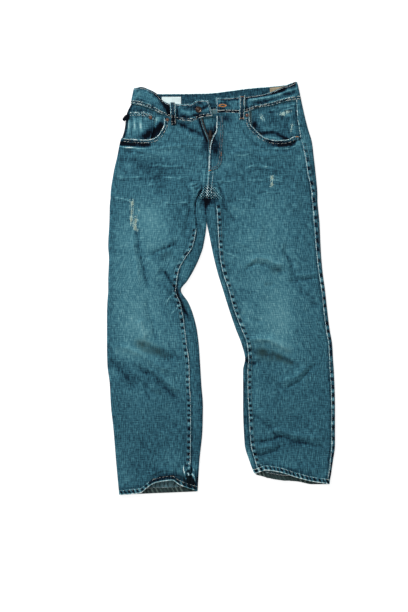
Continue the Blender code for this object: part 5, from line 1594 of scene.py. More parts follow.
def waistband():
    """The band as one wall, with closer rows at its edges and ends."""
    ends = (0.0, 0.5, 1.2)
    inner = np.arange(2.6, band.length - 2.6, 2.6)
    along = np.concatenate([ends, inner, [band.length - e for e in reversed(ends)]])
    up = np.concatenate([[0.0, 0.5, 1.2, 2.4], np.arange(4.5, 37.5, 2.6), [38.4, 39.6, 40.8, 41.5, 42.0]])
    grid_along, grid_up = np.meshgrid(along, up)
    place, _, dye_and_shade = band.surface(grid_along, grid_up)
    from_end = np.minimum(grid_along, band.length - grid_along)
    edge = np.minimum(np.minimum(BAND_HEIGHT - grid_up, from_end), grid_up + 0.4)
    sides = rise(np.abs(place[..., 0] + 20) - 84, 8.0)
    item = {
        "xyz": place, "fade": dye_and_shade, "uv": np.stack([grid_along, grid_up], axis=2), "edge": edge,
        "speckle": 0.6 * sides * bell(grid_up - 5.5, 4.5),
    }
    return cloth("waistband_cloth", [item], BAND_WALL, (BLUE, DARK_BLUE), True)


band_cloth = waistband()
print("waistband:", round(band.length), "mm long")

# %% [markdown]
# ## Pockets
# Behind each curved mouth lies a facing, a piece of the same denim sewn to the pocket bag, which rubs and
# fades where a hand goes in. The right facing lies deeper, under the small coin pocket with its double
# stitched top. On the seat are two plain patch pockets.

# %% Pockets
POCKETING = 1.0
PATCH_POCKET_WALL = 1.15
COIN_TOP = smooth(((-240, 440), (-202, 441), (-170, 431)))
COIN_LEFT, COIN_WIDTH = -240, 70
FACING_PITCH = 2.6
FACING_REACH = 118.0
FACING_LEVEL = 400.0  # where a facing's columns are set out
# x, y, half width, half length, turn in degrees, amount
# The darkest ovals lie inside each mouth, under the front's edge, and are painted shadow; the pale ones are
# wear.
FACING_STREAKS_AND_SHADOWS = {
    "right": (
        (-164, 402, 10, 4, 60, 0.5), (-176, 418, 14, 8, 20, 0.8), (-184, 384, 13, 9, 30, -2.4),
        (-168, 391, 27, 8.5, 38, -2.8), (-161, 417, 9, 7, 30, 1.0), (-196, 443, 24, 5, -14, -0.8),
        (-172, 418, 12, 8, 30, 1.3), (-160, 424, 14, 5, -10, 0.6), (-151, 406, 6, 7, 0, -2.6),
        (-168, 410, 14, 10, 0, 0.3),
    ),
    "left": (
        (100, 428, 5, 9, 20, 0.85), (108, 420, 5, 7, 0, 0.6), (154, 438, 14, 4, -15, 0.9),
        (168, 432, 10, 4, 10, 0.8), (140, 434, 6, 4, 0, 0.5), (174, 414, 4, 12, 0, 0.6),
        (178, 396, 5, 10, 0, 0.4), (140, 446, 24, 3.5, 14, -0.7), (162, 400, 6, 14, 0, -0.45),
        (85, 409, 5, 7, 0, -2.6), (122, 398, 26, 8, 0, 0.35), (96, 398, 8, 10, 30, -0.6),
        (128, 402, 26, 12, 0, 0.1), (128, 420, 12, 8, 0, -0.35), (106, 402, 14, 7, -30, 0.5),
        (188, 430, 4, 28, 0, -0.9), (184, 400, 3, 30, 0, 0.5),
    ),
}
FACING_WORN = {
    "right": (),
    "left": (
        (152, 435, 11, 4.5, -8, 1.0), (166, 441, 9, 4, 10, 1.0), (101, 427, 5, 9, 25, 0.95),
        (176, 404, 4, 13, 0, 0.9),
    ),
}
# half width, height, colour change, points; the dark row inside the left mouth and the dark line beside the
# coin pocket's right edge are painted shadow
FACING_CREASES = {
    "right": (
        (3, -0.8, -0.8, ((-176, 430), (-164, 416), (-150, 414))),
        (3, -0.3, -1.6, ((-170, 378), (-169.5, 388), (-169, 400))),
    ),
    "left": (
        (3.4, -1.3, -1.9, ((94, 386), (114, 389), (135, 389), (150, 380), (170, 371))),
        (2.8, 1.3, 1.7, ((104, 377), (122, 376), (138, 374), (152, 368))),
        (1.9, 0.6, 1.45, ((146, 452), (166, 456), (184, 461))),
        (1.9, 0.6, 1.45, ((128, 446), (156, 446), (180, 452))),
        (2.4, -0.6, -0.6, ((120, 440), (150, 444), (178, 446))),
        (2.4, -0.6, -0.5, ((148, 428), (166, 425), (182, 430))),
    ),
}
# x, y, half width, half length, turn in degrees, amount: the pale upright streaks are wear, and the two
# strongest dark ovals, low down towards the right, are painted shadow inside the mouth
COIN_STREAKS_AND_SHADOWS = (
    (-230, 410, 2.6, 22, 0, 1.7), (-216, 412, 2.8, 20, 2, 1.5), (-201, 408, 3.0, 20, 4, 1.7),
    (-223, 404, 3.0, 20, 0, -0.4), (-208, 400, 3.0, 20, 0, -0.3), (-180, 387, 17, 8.5, 39, -2.7),
    (-194, 380, 12, 6, 0, -1.2), (-186, 424, 6, 4, 0, 0.9), (-236, 424, 5, 10, 0, -0.8),
    (-212, 400, 22, 16, 0, 0.55),
)


def mouth_shade(leg, x, y):
    """The dark crescent inside a mouth, widest on the right, where the front stands away from the facing."""
    away, along = near(x, y, leg.mouth, 40)
    if leg.on_left:
        return -0.6 * bell(away - 2, 3.0)
    return -0.8 * bell(away - 2.5, 4.5) * rise(along - 34, 18.0) * rise(118 - along, 22.0)


def behind_mouth(leg, x, y, depth):
    """Points below the front panel's level, rounded down with it at the outer fold."""
    base, top = underside(y), front_top(y)
    middle = base + MID_SHARE * (top - base)
    return middle + (top - middle) * leg.roundness(x, y) - depth


def facing(leg):
    """A facing from below its mouth up to the waist, with its own streaks and creases."""
    waist, mouth = smooth(WAISTS[leg.side]), smooth(MOUTHS[leg.side][:-1])
    side = "outseam" if leg.on_left else "outer"
    inside = np.arange(0.3 if leg.on_left else 2.0, FACING_REACH, FACING_PITCH)
    x0 = leg.at(side, FACING_LEVEL) + leg.inward * inside
    low, high = mouth(x0) - 10, waist(x0) + 3
    rows = np.linspace(0, 1, 34)[:, None]
    y = low + (high - low) * rows
    x = x0 + (leg.at(side, y) - leg.at(side, FACING_LEVEL)) * (1 - inside / 130)
    if leg.on_left:
        depth = 1.6 + 1.4 * bell(np.hypot(x - 88, y - 408), 14.0)
        depth = depth + 0.8 * bell(np.hypot((x - 128) * 0.5, y - 384), 9.0)
    else:
        depth = smooth(((2, 1.7), (3.5, 1.7), (6, 2.2), (9, 2.9), (FACING_REACH, 3.0)))(inside) + 0 * y
        depth = depth + 1.2 * bell(np.hypot(x + 160, (y - 398) * 0.8), 20.0)
    ripple = 0.35 * patchy(x, 0.5 * y, 16.0, 81)
    z = behind_mouth(leg, x, y, depth - ripple)
    dye_and_shade = -0.36 + ovals(x, y, FACING_STREAKS_AND_SHADOWS[leg.side]) + 0.14 * patchy(x, y, 10.0, 82)
    for width, tall, tone, line in FACING_CREASES[leg.side]:
        shape = bell(near(x, y, drawn(line), 3 * width)[0], width)
        z, dye_and_shade = z + tall * shape * rise(depth - 1.4, 1.0), dye_and_shade + tone * shape
    if not leg.on_left:
        dye_and_shade = dye_and_shade - 1.2 * rise(9 - inside, 3.0)
    item = grid(x, y, z, fade=dye_and_shade + mouth_shade(leg, x, y), bare=ovals(x, y, FACING_WORN[leg.side]))
    return cloth(f"facing_{leg.side}", [item], POCKETING, (BLUE, REVERSE), leg.on_left)


def coin_pocket(leg):
    """The small pocket on the right facing, with a doubled top edge."""
    mouth = smooth(MOUTHS[leg.side][:-1])
    inside = COIN_WIDTH * np.linspace(0, 1, 34)[None, :]
    x0 = COIN_LEFT + inside
    low = mouth(x0) - 9
    up = np.concatenate([np.linspace(0, 0.93, 24), [0.955, 0.975, 0.99, 1.0]])[:, None]
    y = low + (COIN_TOP(x0) - low) * up
    x = leg.at("outer", y) + 9 + inside * 0.92
    from_top = (1 - up) * (COIN_TOP(x0) - low)
    rope = roped(x, 6.5, 83)
    lift = 0.5 * rise(11 - from_top, 2.0) + 0.25 * rope * bell(from_top - 5, 5)
    lift = lift - 0.5 * (1 - quarter_round(from_top, 1.2)) + 0.3 * patchy(x, 0.4 * y, 13.0, 84)
    z = behind_mouth(leg, x, y, 1.6 - lift)
    dye_and_shade = ovals(x, y, COIN_STREAKS_AND_SHADOWS) + 0.45 * rope * bell(from_top - 5, 4)
    dye_and_shade = dye_and_shade - 0.45 * bell(from_top - 12.5, 2.0) - 0.12
    item = grid(x, y, z, fade=dye_and_shade, edge=from_top, speckle=0.7 * bell(from_top - 5, 5))
    return cloth("coin_pocket_cloth", [item], POCKETING, (BLUE, REVERSE))


BACK_POCKETS = {"right": (-160, -26), "left": (92, 24)}  # x, lean in tenths of a degree
POCKET_WIDTH, POCKET_DEPTH, POCKET_TOP = 148.0, 162.0, 388.0


def pocket_place(side, across, down):
    """A place on a patch pocket, from -1 to 1 across it and 0 to 1 down it. Its sides draw in to a point."""
    x0, lean = BACK_POCKETS[side]
    angle = math.radians(lean / 10)
    half = POCKET_WIDTH / 2 * (1 - 0.14 * rise(down - 0.55, 0.45))
    u = across * half
    v = -POCKET_DEPTH * down - 22 * (1 - np.abs(across)) * rise(down - 0.5, 0.5)
    x, y = u * math.cos(angle) - v * math.sin(angle), u * math.sin(angle) + v * math.cos(angle)
    return x0 + x, POCKET_TOP + y


def back_pocket(side):
    """A plain patch pocket on the seat."""
    across, down = np.meshgrid(np.linspace(-1, 1, 45), np.linspace(1, 0, 50))
    x, y = pocket_place(side, across, down)
    from_side = (1 - np.abs(across)) * POCKET_WIDTH / 2
    from_edge = np.minimum(from_side, np.minimum(down, (1 - down)) * POCKET_DEPTH)
    z = np.clip(0.5 * (patchy(x, y, 30.0, 91) + 0.2), 0, 0.5) * rise(from_edge - 8, 10)
    dye_and_shade = 0.18 + 0.28 * bell(np.hypot(across * 0.8, down - 0.5), 0.6)
    dye_and_shade = dye_and_shade - 0.25 * bell(from_edge - 5.0, 3.0) + 0.2 * roped(x + y, 8.0, 92) * bell(from_edge - 4, 4)
    item = grid(x, y, z, fade=dye_and_shade, edge=from_edge)
    return cloth(f"patch_pocket_{side}", [item], PATCH_POCKET_WALL, (BLUE, REVERSE), True)


facings = {side: facing(leg) for side, leg in legs.items()}
coin = coin_pocket(legs["right"])
patch_pockets = {side: back_pocket(side) for side in BACK_POCKETS}

# %% [markdown]
# ## Fly, tab and labels
# The open fly shows the shield behind it and the two woven tapes that carry the zip. A dark tab is caught in
# the side seam, and two labels are sewn inside the back of the band; they are left bare.

# %% Fly, tab and labels
SHIELD = (-60, 2, 292, 436)  # low x, high x, low y, high y
SHIELD_DEPTH = 3.6
SLIDER_AT = (-27.0, 377.5)
SLIDER_SIZE = (8.0, 9.0, 3.0)
FLY_HEIGHT = float(front_top(SLIDER_AT[1]))
TAPE_WALL, TAPE_LOW, TAPE_HIGH = 0.6, 300, 430
LABEL_WALL = 0.7
LABEL_HEIGHT = HIP_BASE + BAND_WALL + GAP + 0.8
# lower left, lower right, upper right, upper left
WHITE_CORNERS = ((-148, 448), (-100, 448), (-100, 478.5), (-148, 478.5))
TAN_CORNERS = ((122, 476), (160, 480), (160, 505), (122, 501))
# share of the way along the tab, height
TAB_LOW = ((0, 421.0), (0.2, 417.5), (0.6, 420.5), (1, 423.5))
TAB_HIGH = ((0, 424.5), (0.35, 432.0), (0.7, 434.8), (1, 436.0))
TAB_START, TAB_LENGTH, TAB_WALL = -246, 17, 1.3


def flat_piece(name, x, y, z, dye_and_shade, wall, finishes):
    """A small piece of one patch."""
    return cloth(name, [grid(x, y, z, fade=dye_and_shade)], wall, finishes)


def fly_shield():
    """The piece behind the open fly, nearly black in its shadow."""
    x0, x1, y0, y1 = SHIELD
    x, y = np.meshgrid(np.linspace(x0, x1, 26), np.linspace(y0, y1, 58))
    z = FLY_HEIGHT - SHIELD_DEPTH + 0.35 * patchy(x, 0.3 * y, 12.0, 95)
    dye_and_shade = -0.10 - 2.3 * rise(412 - y, 34) - 0.5 * bell(x + 12, 7) + 0.3 * patchy(x, 0.4 * y, 9.0, 96)
    return flat_piece("shield", x, y, z, dye_and_shade, DENIM, (BLUE, REVERSE))


def zip_tape(side):
    """A tape, side by side with the other below the slider, and the free edge that carries the teeth."""
    way = -1 if side == "right" else 1
    line = smooth(FLY_EDGES[side])
    width, length, _ = SLIDER_SIZE
    clear = width / 2 + GAP
    low, high = SLIDER_AT[1] - length / 2 - GAP, SLIDER_AT[1] + length / 2 + GAP
    below, above = np.linspace(TAPE_LOW, low - 0.2, 20), np.linspace(high + 4, TAPE_HIGH, 22)
    y = np.concatenate([below, np.linspace(low, high, 5), above])
    apart = np.where(y < low - 0.1, GAP / 2, clear)
    tied = y < high + 1
    past = 4.0 if side == "right" else -0.8
    free = np.where(tied, SLIDER_AT[0] + way * apart, line(y) - way * past)
    hidden = np.where(tied, SLIDER_AT[0] + way * 13, line(y) + way * 9)
    share = np.linspace(0, 1, 7)[None, :]
    first, last = (hidden, free) if side == "right" else (free, hidden)
    x = first[:, None] * (1 - share) + last[:, None] * share
    z = np.full(x.shape, FLY_HEIGHT - DENIM - GAP)
    tape = flat_piece(f"tape_{side}", x, y[:, None] + 0 * x, z, 0 * x, TAPE_WALL, (TAPE, TAPE))
    return tape, free, y


def label(name, corners, finish, seed):
    """A soft rectangle inside the back of the band."""
    a, b, c, d = (np.array(corner, float) for corner in corners)
    u, v = np.meshgrid(np.linspace(0, 1, 16), np.linspace(0, 1, 12))
    u, v = u[..., None], v[..., None]
    place = (a * (1 - u) + b * u) * (1 - v) + (d * (1 - u) + c * u) * v
    x, y = place[..., 0], place[..., 1]
    from_side = np.minimum(u, 1 - u)[..., 0] * (b - a)[0]
    edge = np.minimum(from_side, np.minimum(v, 1 - v)[..., 0] * (d - a)[1])
    z = LABEL_HEIGHT + 0.25 * patchy(x, y, 12.0, seed) - 0.25 * (1 - rise(edge, 2.0))
    return flat_piece(name, x, y, z, 0 * x, LABEL_WALL, (finish, finish))


def side_tab(leg):
    """A short dark strip that hangs askew, its free end lower than its sewn one."""
    u, share = np.meshgrid(np.linspace(0, 1, 14), np.linspace(0, 1, 12))
    low, high = np.interp(u, *zip(*TAB_LOW)), np.interp(u, *zip(*TAB_HIGH))
    x, y = TAB_START + TAB_LENGTH * u, low + (high - low) * share
    at_fold = float(leg.surface("front", np.array([TAB_START + TAB_LENGTH]), np.array([428.0]))[0][0])
    z = at_fold + np.interp(u, (0, 0.47, 1), (-4.6, -0.4, 1.2)) + 0.2 * patchy(x, y, 8.0, 97)
    return flat_piece("tab", x, y, z, -3.2 + 0.8 * u, TAB_WALL, (BLUE, BLUE))


TAPE = cloth_inside("zip tape", (0.030, 0.042, 0.055))
WHITE_LABEL = cloth_inside("white woven label", (0.50, 0.60, 0.60), 0.12)
TAN_LABEL = cloth_inside("tan woven label", (0.23, 0.19, 0.125), 0.2)
shield = fly_shield()
tapes = {side: zip_tape(side) for side in legs}
inner_label = label("white_label", WHITE_CORNERS, WHITE_LABEL, 98)
tan_label = label("tan_label_cloth", TAN_CORNERS, TAN_LABEL, 99)
tab = side_tab(legs["right"])

# %% [markdown]
# ## Belt loops
# A belt loop is a folded strip with a row of stitches along each edge. The front ones cross the waist seam,
# stand a little off the band, and end in bar tacks; the others lie flat under the garment.

# %% Belt loops
LOOP_WALL, LOOP_WIDTH = 1.2, 13.0
# x, high y, low y
FRONT_LOOPS = {"right": (-119.5, 464, 408), "left": (52.5, 482, 421)}
BACK_LOOPS = {"side_right": (-176, 488, 436), "back": (-36, 484, 436), "side_left": (160, 504, 455)}
LOOP_LEAN = {"right": 3.0, "left": -1.5}
LOOP_DARKER_BELOW = {"right": -2.4, "left": -0.3}


def loop_place(side, across, up):
    """A place on a front loop, from -1 to 1 across it and 0 to 1 up it."""
    x, high, low = FRONT_LOOPS[side]
    on_panel = float(front_top(low)) + 1.1 + GAP + LOOP_WALL
    on_band = BAND_TOP + GAP + LOOP_WALL
    height = smooth((
        (0, on_panel - 0.2), (0.14, on_panel), (0.24, on_band), (0.55, on_band + 1.8), (0.92, on_band),
        (1.0, on_band - 0.9),
    ))
    y = low + (high - low) * up
    z = height(up) - 0.5 * (1 - np.sqrt(1 - np.minimum(1, np.abs(across)) ** 4))
    return np.stack([x + across * LOOP_WIDTH / 2 + LOOP_LEAN[side] * (0.5 - up), y, z], axis=-1)


def belt_loop(name, place, flip=False, darker_below=0.0):
    """A loop whose stitched edges are pale and whose lower half may be darker."""
    across, up = np.meshgrid(np.linspace(-1, 1, 9), np.linspace(0, 1, 30))
    xyz = place(across, up)
    dye_and_shade = 0.15 * roped(up * 56, 6.0, 71) - 0.3 - 0.6 * bell(np.abs(across) - 0.5, 0.2)
    dye_and_shade = dye_and_shade - 0.9 * bell(across, 0.3) + 0.6 * rise(np.abs(across) - 0.75, 0.2)
    dye_and_shade = dye_and_shade + 0.5 * bell(1 - up, 0.03) - 0.6 * bell(up - 0.1, 0.09) + darker_below * rise(0.55 - up, 0.35)
    item = {"xyz": xyz, "fade": dye_and_shade, "uv": xyz[..., :2], "edge": (1 - np.abs(across)) * LOOP_WIDTH / 2}
    return cloth(name, [item], LOOP_WALL, (BLUE, BLUE), flip)


def flat_loop(side):
    """A loop under the garment, with nothing of its own to show but its shape."""
    x, high, low = BACK_LOOPS[side]

    def place(across, up):
        return np.stack([x + across * LOOP_WIDTH / 2, low + (high - low) * up, 0 * up], axis=-1)

    return belt_loop(f"loop_{side}", place, True)


loops = {
    side: belt_loop(f"loop_front_{side}", lambda a, u, s=side: loop_place(s, a, u), darker_below=LOOP_DARKER_BELOW[side])
    for side in FRONT_LOOPS
}
back_loops = {side: flat_loop(side) for side in BACK_LOOPS}

# %% [markdown]
# ## Recipes for small repeats
# Stitches, zip teeth and the threads of a rip are all one small shape repeated along a line. Each has a
# recipe in Geometry Nodes with named inputs, fed with lines that carry the direction away from the cloth.
# `Recipe` keeps the building of such a node group short, and `made` runs one and keeps the plain mesh.

# %% Recipes for small repeats
SOCKETS = {"float": "NodeSocketFloat", "int": "NodeSocketInt", "material": "NodeSocketMaterial"}


class Recipe:
    """A Geometry Nodes group that is built by calls, and run on lines."""

    def __init__(self, name, **inputs):
        self.tree = bpy.data.node_groups.new(name, "GeometryNodeTree")
        self.tree.interface.new_socket("Geometry", in_out="INPUT", socket_type="NodeSocketGeometry")
        self.keys = {}
        for key, kind in inputs.items():
            made_socket = self.tree.interface.new_socket(key, in_out="INPUT", socket_type=SOCKETS[kind])
            self.keys[key] = made_socket.identifier
        self.tree.interface.new_socket("Geometry", in_out="OUTPUT", socket_type="NodeSocketGeometry")
        self.start = self.tree.nodes.new("NodeGroupInput")

    def take(self, key):
        """One of the recipe's own inputs."""
        return self.start.outputs[key]

    def node(self, kind, settings=None, inputs=None, output=0):
        """A new node of that type, as the socket at its output."""
        node = self.tree.nodes.new(kind)
        for key, value in (settings or {}).items():
            setattr(node, key, value)
        for key, item in (inputs or {}).items():
            if isinstance(item, bpy.types.NodeSocket):
                self.tree.links.new(item, node.inputs[key])
            else:
                node.inputs[key].default_value = item
        return node.outputs[output]

    def times(self, a, b):
        return self.node("ShaderNodeMath", {"operation": "MULTIPLY"}, {0: a, 1: b})

    def curves(self):
        """The lines that the recipe is run on."""
        return self.node("GeometryNodeMeshToCurve", None, {"Mesh": self.take("Geometry")})

    def tube(self, line):
        """A round thread along a line."""
        inputs = {"Resolution": 5, "Radius": self.times(self.take("Thickness"), 0.5)}
        ring = self.node("GeometryNodeCurvePrimitiveCircle", None, inputs)
        inputs = {"Curve": line, "Profile Curve": ring, "Fill Caps": True}
        return self.node("GeometryNodeCurveToMesh", None, inputs)

    def turned(self):
        """A rotation with Z away from the cloth and X along the line."""
        away = self.node("GeometryNodeInputNamedAttribute", {"data_type": "FLOAT_VECTOR"}, {"Name": "out"})
        up = self.node("FunctionNodeAlignRotationToVector", {"axis": "Z"}, {"Vector": away})
        inputs = {"Rotation": up, "Vector": self.node("GeometryNodeInputTangent")}
        return self.node("FunctionNodeAlignRotationToVector", {"axis": "X", "pivot_axis": "Z"}, inputs)

    def repeated(self, piece, **more):
        """The piece at every pitch along the lines."""
        inputs = {"Curve": self.curves(), "Length": self.take("Pitch")}
        points = self.node("GeometryNodeResampleCurve", {"mode": "LENGTH"}, inputs)
        inputs = {"Points": points, "Instance": piece, "Rotation": self.turned(), **more}
        return self.node("GeometryNodeInstanceOnPoints", None, inputs)

    def random(self, low, high):
        """A number for each stitch."""
        inputs = {2: low, 3: high, "Seed": self.take("Seed")}
        return self.node("FunctionNodeRandomValue", {"data_type": "FLOAT"}, inputs, 1)

    def finish(self, geometry):
        geometry = self.node("GeometryNodeSetShadeSmooth", None, {"Geometry": geometry})
        inputs = {"Geometry": geometry, "Material": self.take("Finish")}
        end = self.tree.nodes.new("NodeGroupOutput")
        self.tree.links.new(self.node("GeometryNodeSetMaterial", None, inputs), end.inputs[0])
        return self


def stitch_recipe():
    """A small arch of thread at every pitch, each with its own size and tone."""
    recipe = Recipe(
        "stitch run", Pitch="float", Length="float", Thickness="float", Seed="int", Finish="material"
    )
    half = recipe.times(recipe.take("Length"), 0.5)
    low, high = (recipe.times(recipe.take("Thickness"), share) for share in (-0.55, 1.7))
    start = recipe.node("ShaderNodeCombineXYZ", None, {"X": recipe.times(half, -1.0), "Z": low})
    middle = recipe.node("ShaderNodeCombineXYZ", None, {"Z": high})
    end = recipe.node("ShaderNodeCombineXYZ", None, {"X": half, "Z": low})
    inputs = {"Resolution": 4, "Start": start, "Middle": middle, "End": end}
    arch = recipe.node("GeometryNodeCurveQuadraticBezier", None, inputs)
    stitches = recipe.repeated(recipe.tube(arch), Scale=recipe.random(0.82, 1.12))
    settings = {"domain": "INSTANCE", "data_type": "FLOAT"}
    inputs = {"Geometry": stitches, "Name": "tone", "Value": recipe.random(0.0, 1.0)}
    toned = recipe.node("GeometryNodeStoreNamedAttribute", settings, inputs)
    return recipe.finish(recipe.node("GeometryNodeRealizeInstances", None, {"Geometry": toned}))


def strand_recipe():
    """A loose thread along each line."""
    recipe = Recipe("loose strand", Thickness="float", Finish="material")
    return recipe.finish(recipe.tube(recipe.curves()))


def tooth_recipe():
    """A small block at every pitch."""
    recipe = Recipe(
        "zip tooth", Pitch="float", Length="float", Width="float", Height="float", Finish="material"
    )
    inputs = {"X": recipe.take("Width"), "Y": recipe.take("Length"), "Z": recipe.take("Height")}
    size = recipe.node("ShaderNodeCombineXYZ", None, inputs)
    teeth = recipe.repeated(recipe.node("GeometryNodeMeshCube", None, {"Size": size}))
    return recipe.finish(recipe.node("GeometryNodeRealizeInstances", None, {"Geometry": teeth}))


def made(name, recipe, runs, **values):
    """Runs a recipe on lines of (places, directions) in millimetres and keeps the plain mesh."""
    places, directions, edges, start = [], [], [], 0
    for place, direction in runs:
        places.append(place)
        directions.append(direction)
        index = np.arange(start, start + len(place))
        edges += list(zip(index[:-1].tolist(), index[1:].tolist()))
        start += len(place)
    mesh = bpy.data.meshes.new(name)
    mesh.from_pydata((np.vstack(places) * MM).tolist(), edges, [])
    out = mesh.attributes.new("out", "FLOAT_VECTOR", "POINT")
    out.data.foreach_set("vector", np.vstack(directions).astype(np.float32).reshape(-1))
    ob = put(name, mesh)
    modifier = ob.modifiers.new(recipe.tree.name, "NODES")
    modifier.node_group = recipe.tree
    for key, value in values.items():
        modifier[recipe.keys[key]] = value
    plain(ob)
    print(f"{name}: {len(runs)} runs, {triangles(ob)} triangles")
    return ob


STITCH = stitch_recipe()
STRAND = strand_recipe()
TOOTH = tooth_recipe()

# %% [markdown]
# ## Thread
# Jeans are sewn with thick tobacco-coloured thread. Here most of it has bleached to a pale grey brown, and
# stays dark in places; the bar tacks, the eyelet of the buttonhole and a few runs keep their orange. Every
# stitch carries a random tone, and the finish turns it into a colour.

# %% Thread


def thread(name, dark, pale, low=0.25, high=0.75):
    """Thread that is dark up to a low tone and pale from a high one."""
    finish = Finish(name, Roughness=0.8, Sheen_Weight=0.1, Specular_IOR_Level=0.2)
    tone = finish.attribute("tone").between(low, high)
    return finish.set(Base_Color=finish.mix(tone, dark, pale))


PALE_THREAD = thread("thread, bleached", (0.10, 0.13, 0.14), (0.60, 0.72, 0.74), 0.05, 0.5)
MIXED_THREAD = thread("thread, half bleached", (0.018, 0.022, 0.030), (0.58, 0.62, 0.57), 0.35, 0.65)
RUST_THREAD = thread("thread, rust", (0.030, 0.026, 0.034), (0.22, 0.20, 0.20))
DARK_THREAD = thread("thread, dark", (0.012, 0.022, 0.030), (0.11, 0.15, 0.16), 0.4, 0.95)
ORANGE_THREAD = thread("thread, orange", (0.26, 0.085, 0.015), (0.52, 0.22, 0.05))
RAW_THREAD = thread("weft thread", (0.36, 0.47, 0.40), (0.62, 0.72, 0.62))

# %% [markdown]
# ## Lines on the cloth
# A run of stitches starts as a flat drawing and is laid on the finished cloth: each of its points moves to
# the nearest place on the piece it is sewn through, and takes the direction away from the cloth from there.

# %% Lines on the cloth
PRESSED_IN = 0.55
CLEAR = 2.0
LINE_STEP = 4.0
YOKE_STITCHING = {"right": (-206, -42), "left": (-30, 196)}
FINISHES = {
    "pale": PALE_THREAD, "mixed": MIXED_THREAD, "rope": MIXED_THREAD, "rust": RUST_THREAD,
    "dark": DARK_THREAD,
}
STITCH_WIDTHS = {"pale": 0.62, "mixed": 0.62, "rope": 0.95, "rust": 0.7, "dark": 0.62}
STITCH_PITCH, STITCH_LENGTH = 3.1, 2.8
TACK_PITCH, TACK_WIDTH, TACK_THREAD = 0.55, 2.4, 0.6
# piece, place, angle, length
TACKS = (
    (fronts["left"], (-28, 293, 14), 4, 9), (fronts["left"], (-28, 295.4, 14), 4, 9),
    (fronts["left"], (2, 335, 14), 88, 8),
    (fronts["left"], (190, 380, 14), 45, 8), (fronts["left"], (190, 380, 14), -45, 8),
    (loops["left"], (52, 424, 14), 0, 11), (loops["left"], (52, 479, 16), 0, 11),
)
DARK_TACKS = ((loops["right"], (-119, 411, 14), 0, 11), (loops["right"], (-119, 461, 16), 0, 11))
BUTTONHOLE_RINGS = ((9.6, 3.5), (8.5, 2.7), (7.5, 1.9))  # half width, half height
nearest = {}
runs = {"pale": [], "mixed": [], "rope": [], "rust": [], "dark": []}


def laid(ob, points, lift=0.05):
    """Points moved onto a piece, with the direction away from it. Under the garment they are pressed in."""
    if ob.name not in nearest:
        bm = bmesh.new()
        bm.from_mesh(ob.data)
        nearest[ob.name] = BVHTree.FromBMesh(bm)
        bm.free()
    places, directions = [], []
    for point in np.asarray(points, float) * MM:
        place, normal, _, _ = nearest[ob.name].find_nearest(point)
        place = np.array(place) / MM + np.array(normal) * lift
        if normal[2] < 0:
            place[2] = max(place[2], PRESSED_IN)
        places.append(place)
        directions.append(np.array(normal))
    return np.array(places), np.array(directions)


def over(leg, line, face="front"):
    """A flat line moved to just outside a face of the leg."""
    z, _ = leg.surface(face, line[:, 0], line[:, 1])
    return np.column_stack([line, z + (CLEAR if face == "front" else -CLEAR)])


def beside(line, distance):
    """The same line, moved to its left by a distance."""
    line = np.asarray(line, float)
    way = np.gradient(line, axis=0)
    way = way / np.linalg.norm(way, axis=1)[:, None]
    return line + np.column_stack([-way[:, 1], way[:, 0]]) * distance


def down_seam(leg, column, inside, low, high):
    """A flat line beside a seam, from one height to another."""
    y = np.arange(low, high, LINE_STEP)
    return np.column_stack([leg.at(column, y) - leg.inward * inside, y])


def waved(line, seed, amount):
    """A line as a sewing machine leaves it, never quite parallel to the edge."""
    flat = line[:, :2]
    drift = amount * ripples(travelled_along(flat), 22.0, seed)
    return np.column_stack([flat + (beside(flat, 1.0) - flat) * drift[:, None], line[:, 2:]])


def sew(kind, ob, line):
    """A run of stitches of one kind on a piece."""
    runs[kind].append(laid(ob, line))


def hem_line(leg, columns):
    """A row of stitches near the top of the hem."""
    y = meeting(leg, columns, leg.hems, HEM_HEIGHT - 2.0)
    places = []
    for column, height in zip(columns, y):
        x = float(column_x(leg, column, height))
        z = float(leg.surface(column[0], np.array([x]), np.array([height]))[0][0])
        places.append((x, height, z + (CLEAR if column[0] == "front" else -CLEAR / 2)))
    return places


right, left = legs["right"], legs["left"]
inseam_low = {"right": -440.0, "left": float(left.hems["front"](left.at("inseam", -470.0))) + HEM_HEIGHT + 2}

# Each leg: the inseam, the pocket mouth and the hem.
for side, leg in legs.items():
    for inside, kind, seed in ((1.4, "pale", 1), (9.6, "dark", 2)):
        line = over(leg, down_seam(leg, "inseam", inside, inseam_low[side], INSEAM_TOPS[side]))
        sew(kind, fronts[side], waved(line, seed + leg.inward, 0.15))
    mouth = leg.mouth[leg.mouth[:, 1] < 432]
    for offset, seed in ((2.2, 3), (8.4, 4)):
        line = beside(mouth, -leg.inward * offset)[2:-2]
        sew("mixed", fronts[side], waved(over(leg, line), seed, 0.2))
    in_front = [c for c in front_columns(leg)[0][:-1] + strip_columns(leg)[:-1] if c[0] == "front"]
    for columns in (in_front, under_columns(leg)):
        sew("mixed", hems[side], hem_line(leg, columns))

# The side seam that shows in front.
for inside, kind in ((1.4, "pale"), (9.6, "dark")):
    line = over(left, down_seam(left, "outseam", inside, -470, PATCH_HIGH))
    sew(kind, backs["left"], waved(line, 7, 0.15))

# The fly: two rows round the J, one row close to each edge, and the rise seam below it.
j_y = np.concatenate([np.linspace(428, 301, 44), [298.5, 296.8, 295.6, 295.0]])
j_line = np.column_stack([J_STITCH(j_y), j_y])
for offset, seed in ((0.0, 8), (-5.6, 9)):
    sew("rust", fronts["left"], waved(over(left, beside(j_line, offset)), seed, 0.2))
flap_edge = np.vstack([left.fly[::-1], [(left.at("inseam", y), y) for y in np.arange(364, 292, -4)]])
sew("pale", fronts["left"], waved(over(left, beside(flap_edge, 2.2)[1:-1]), 10, 0.15))
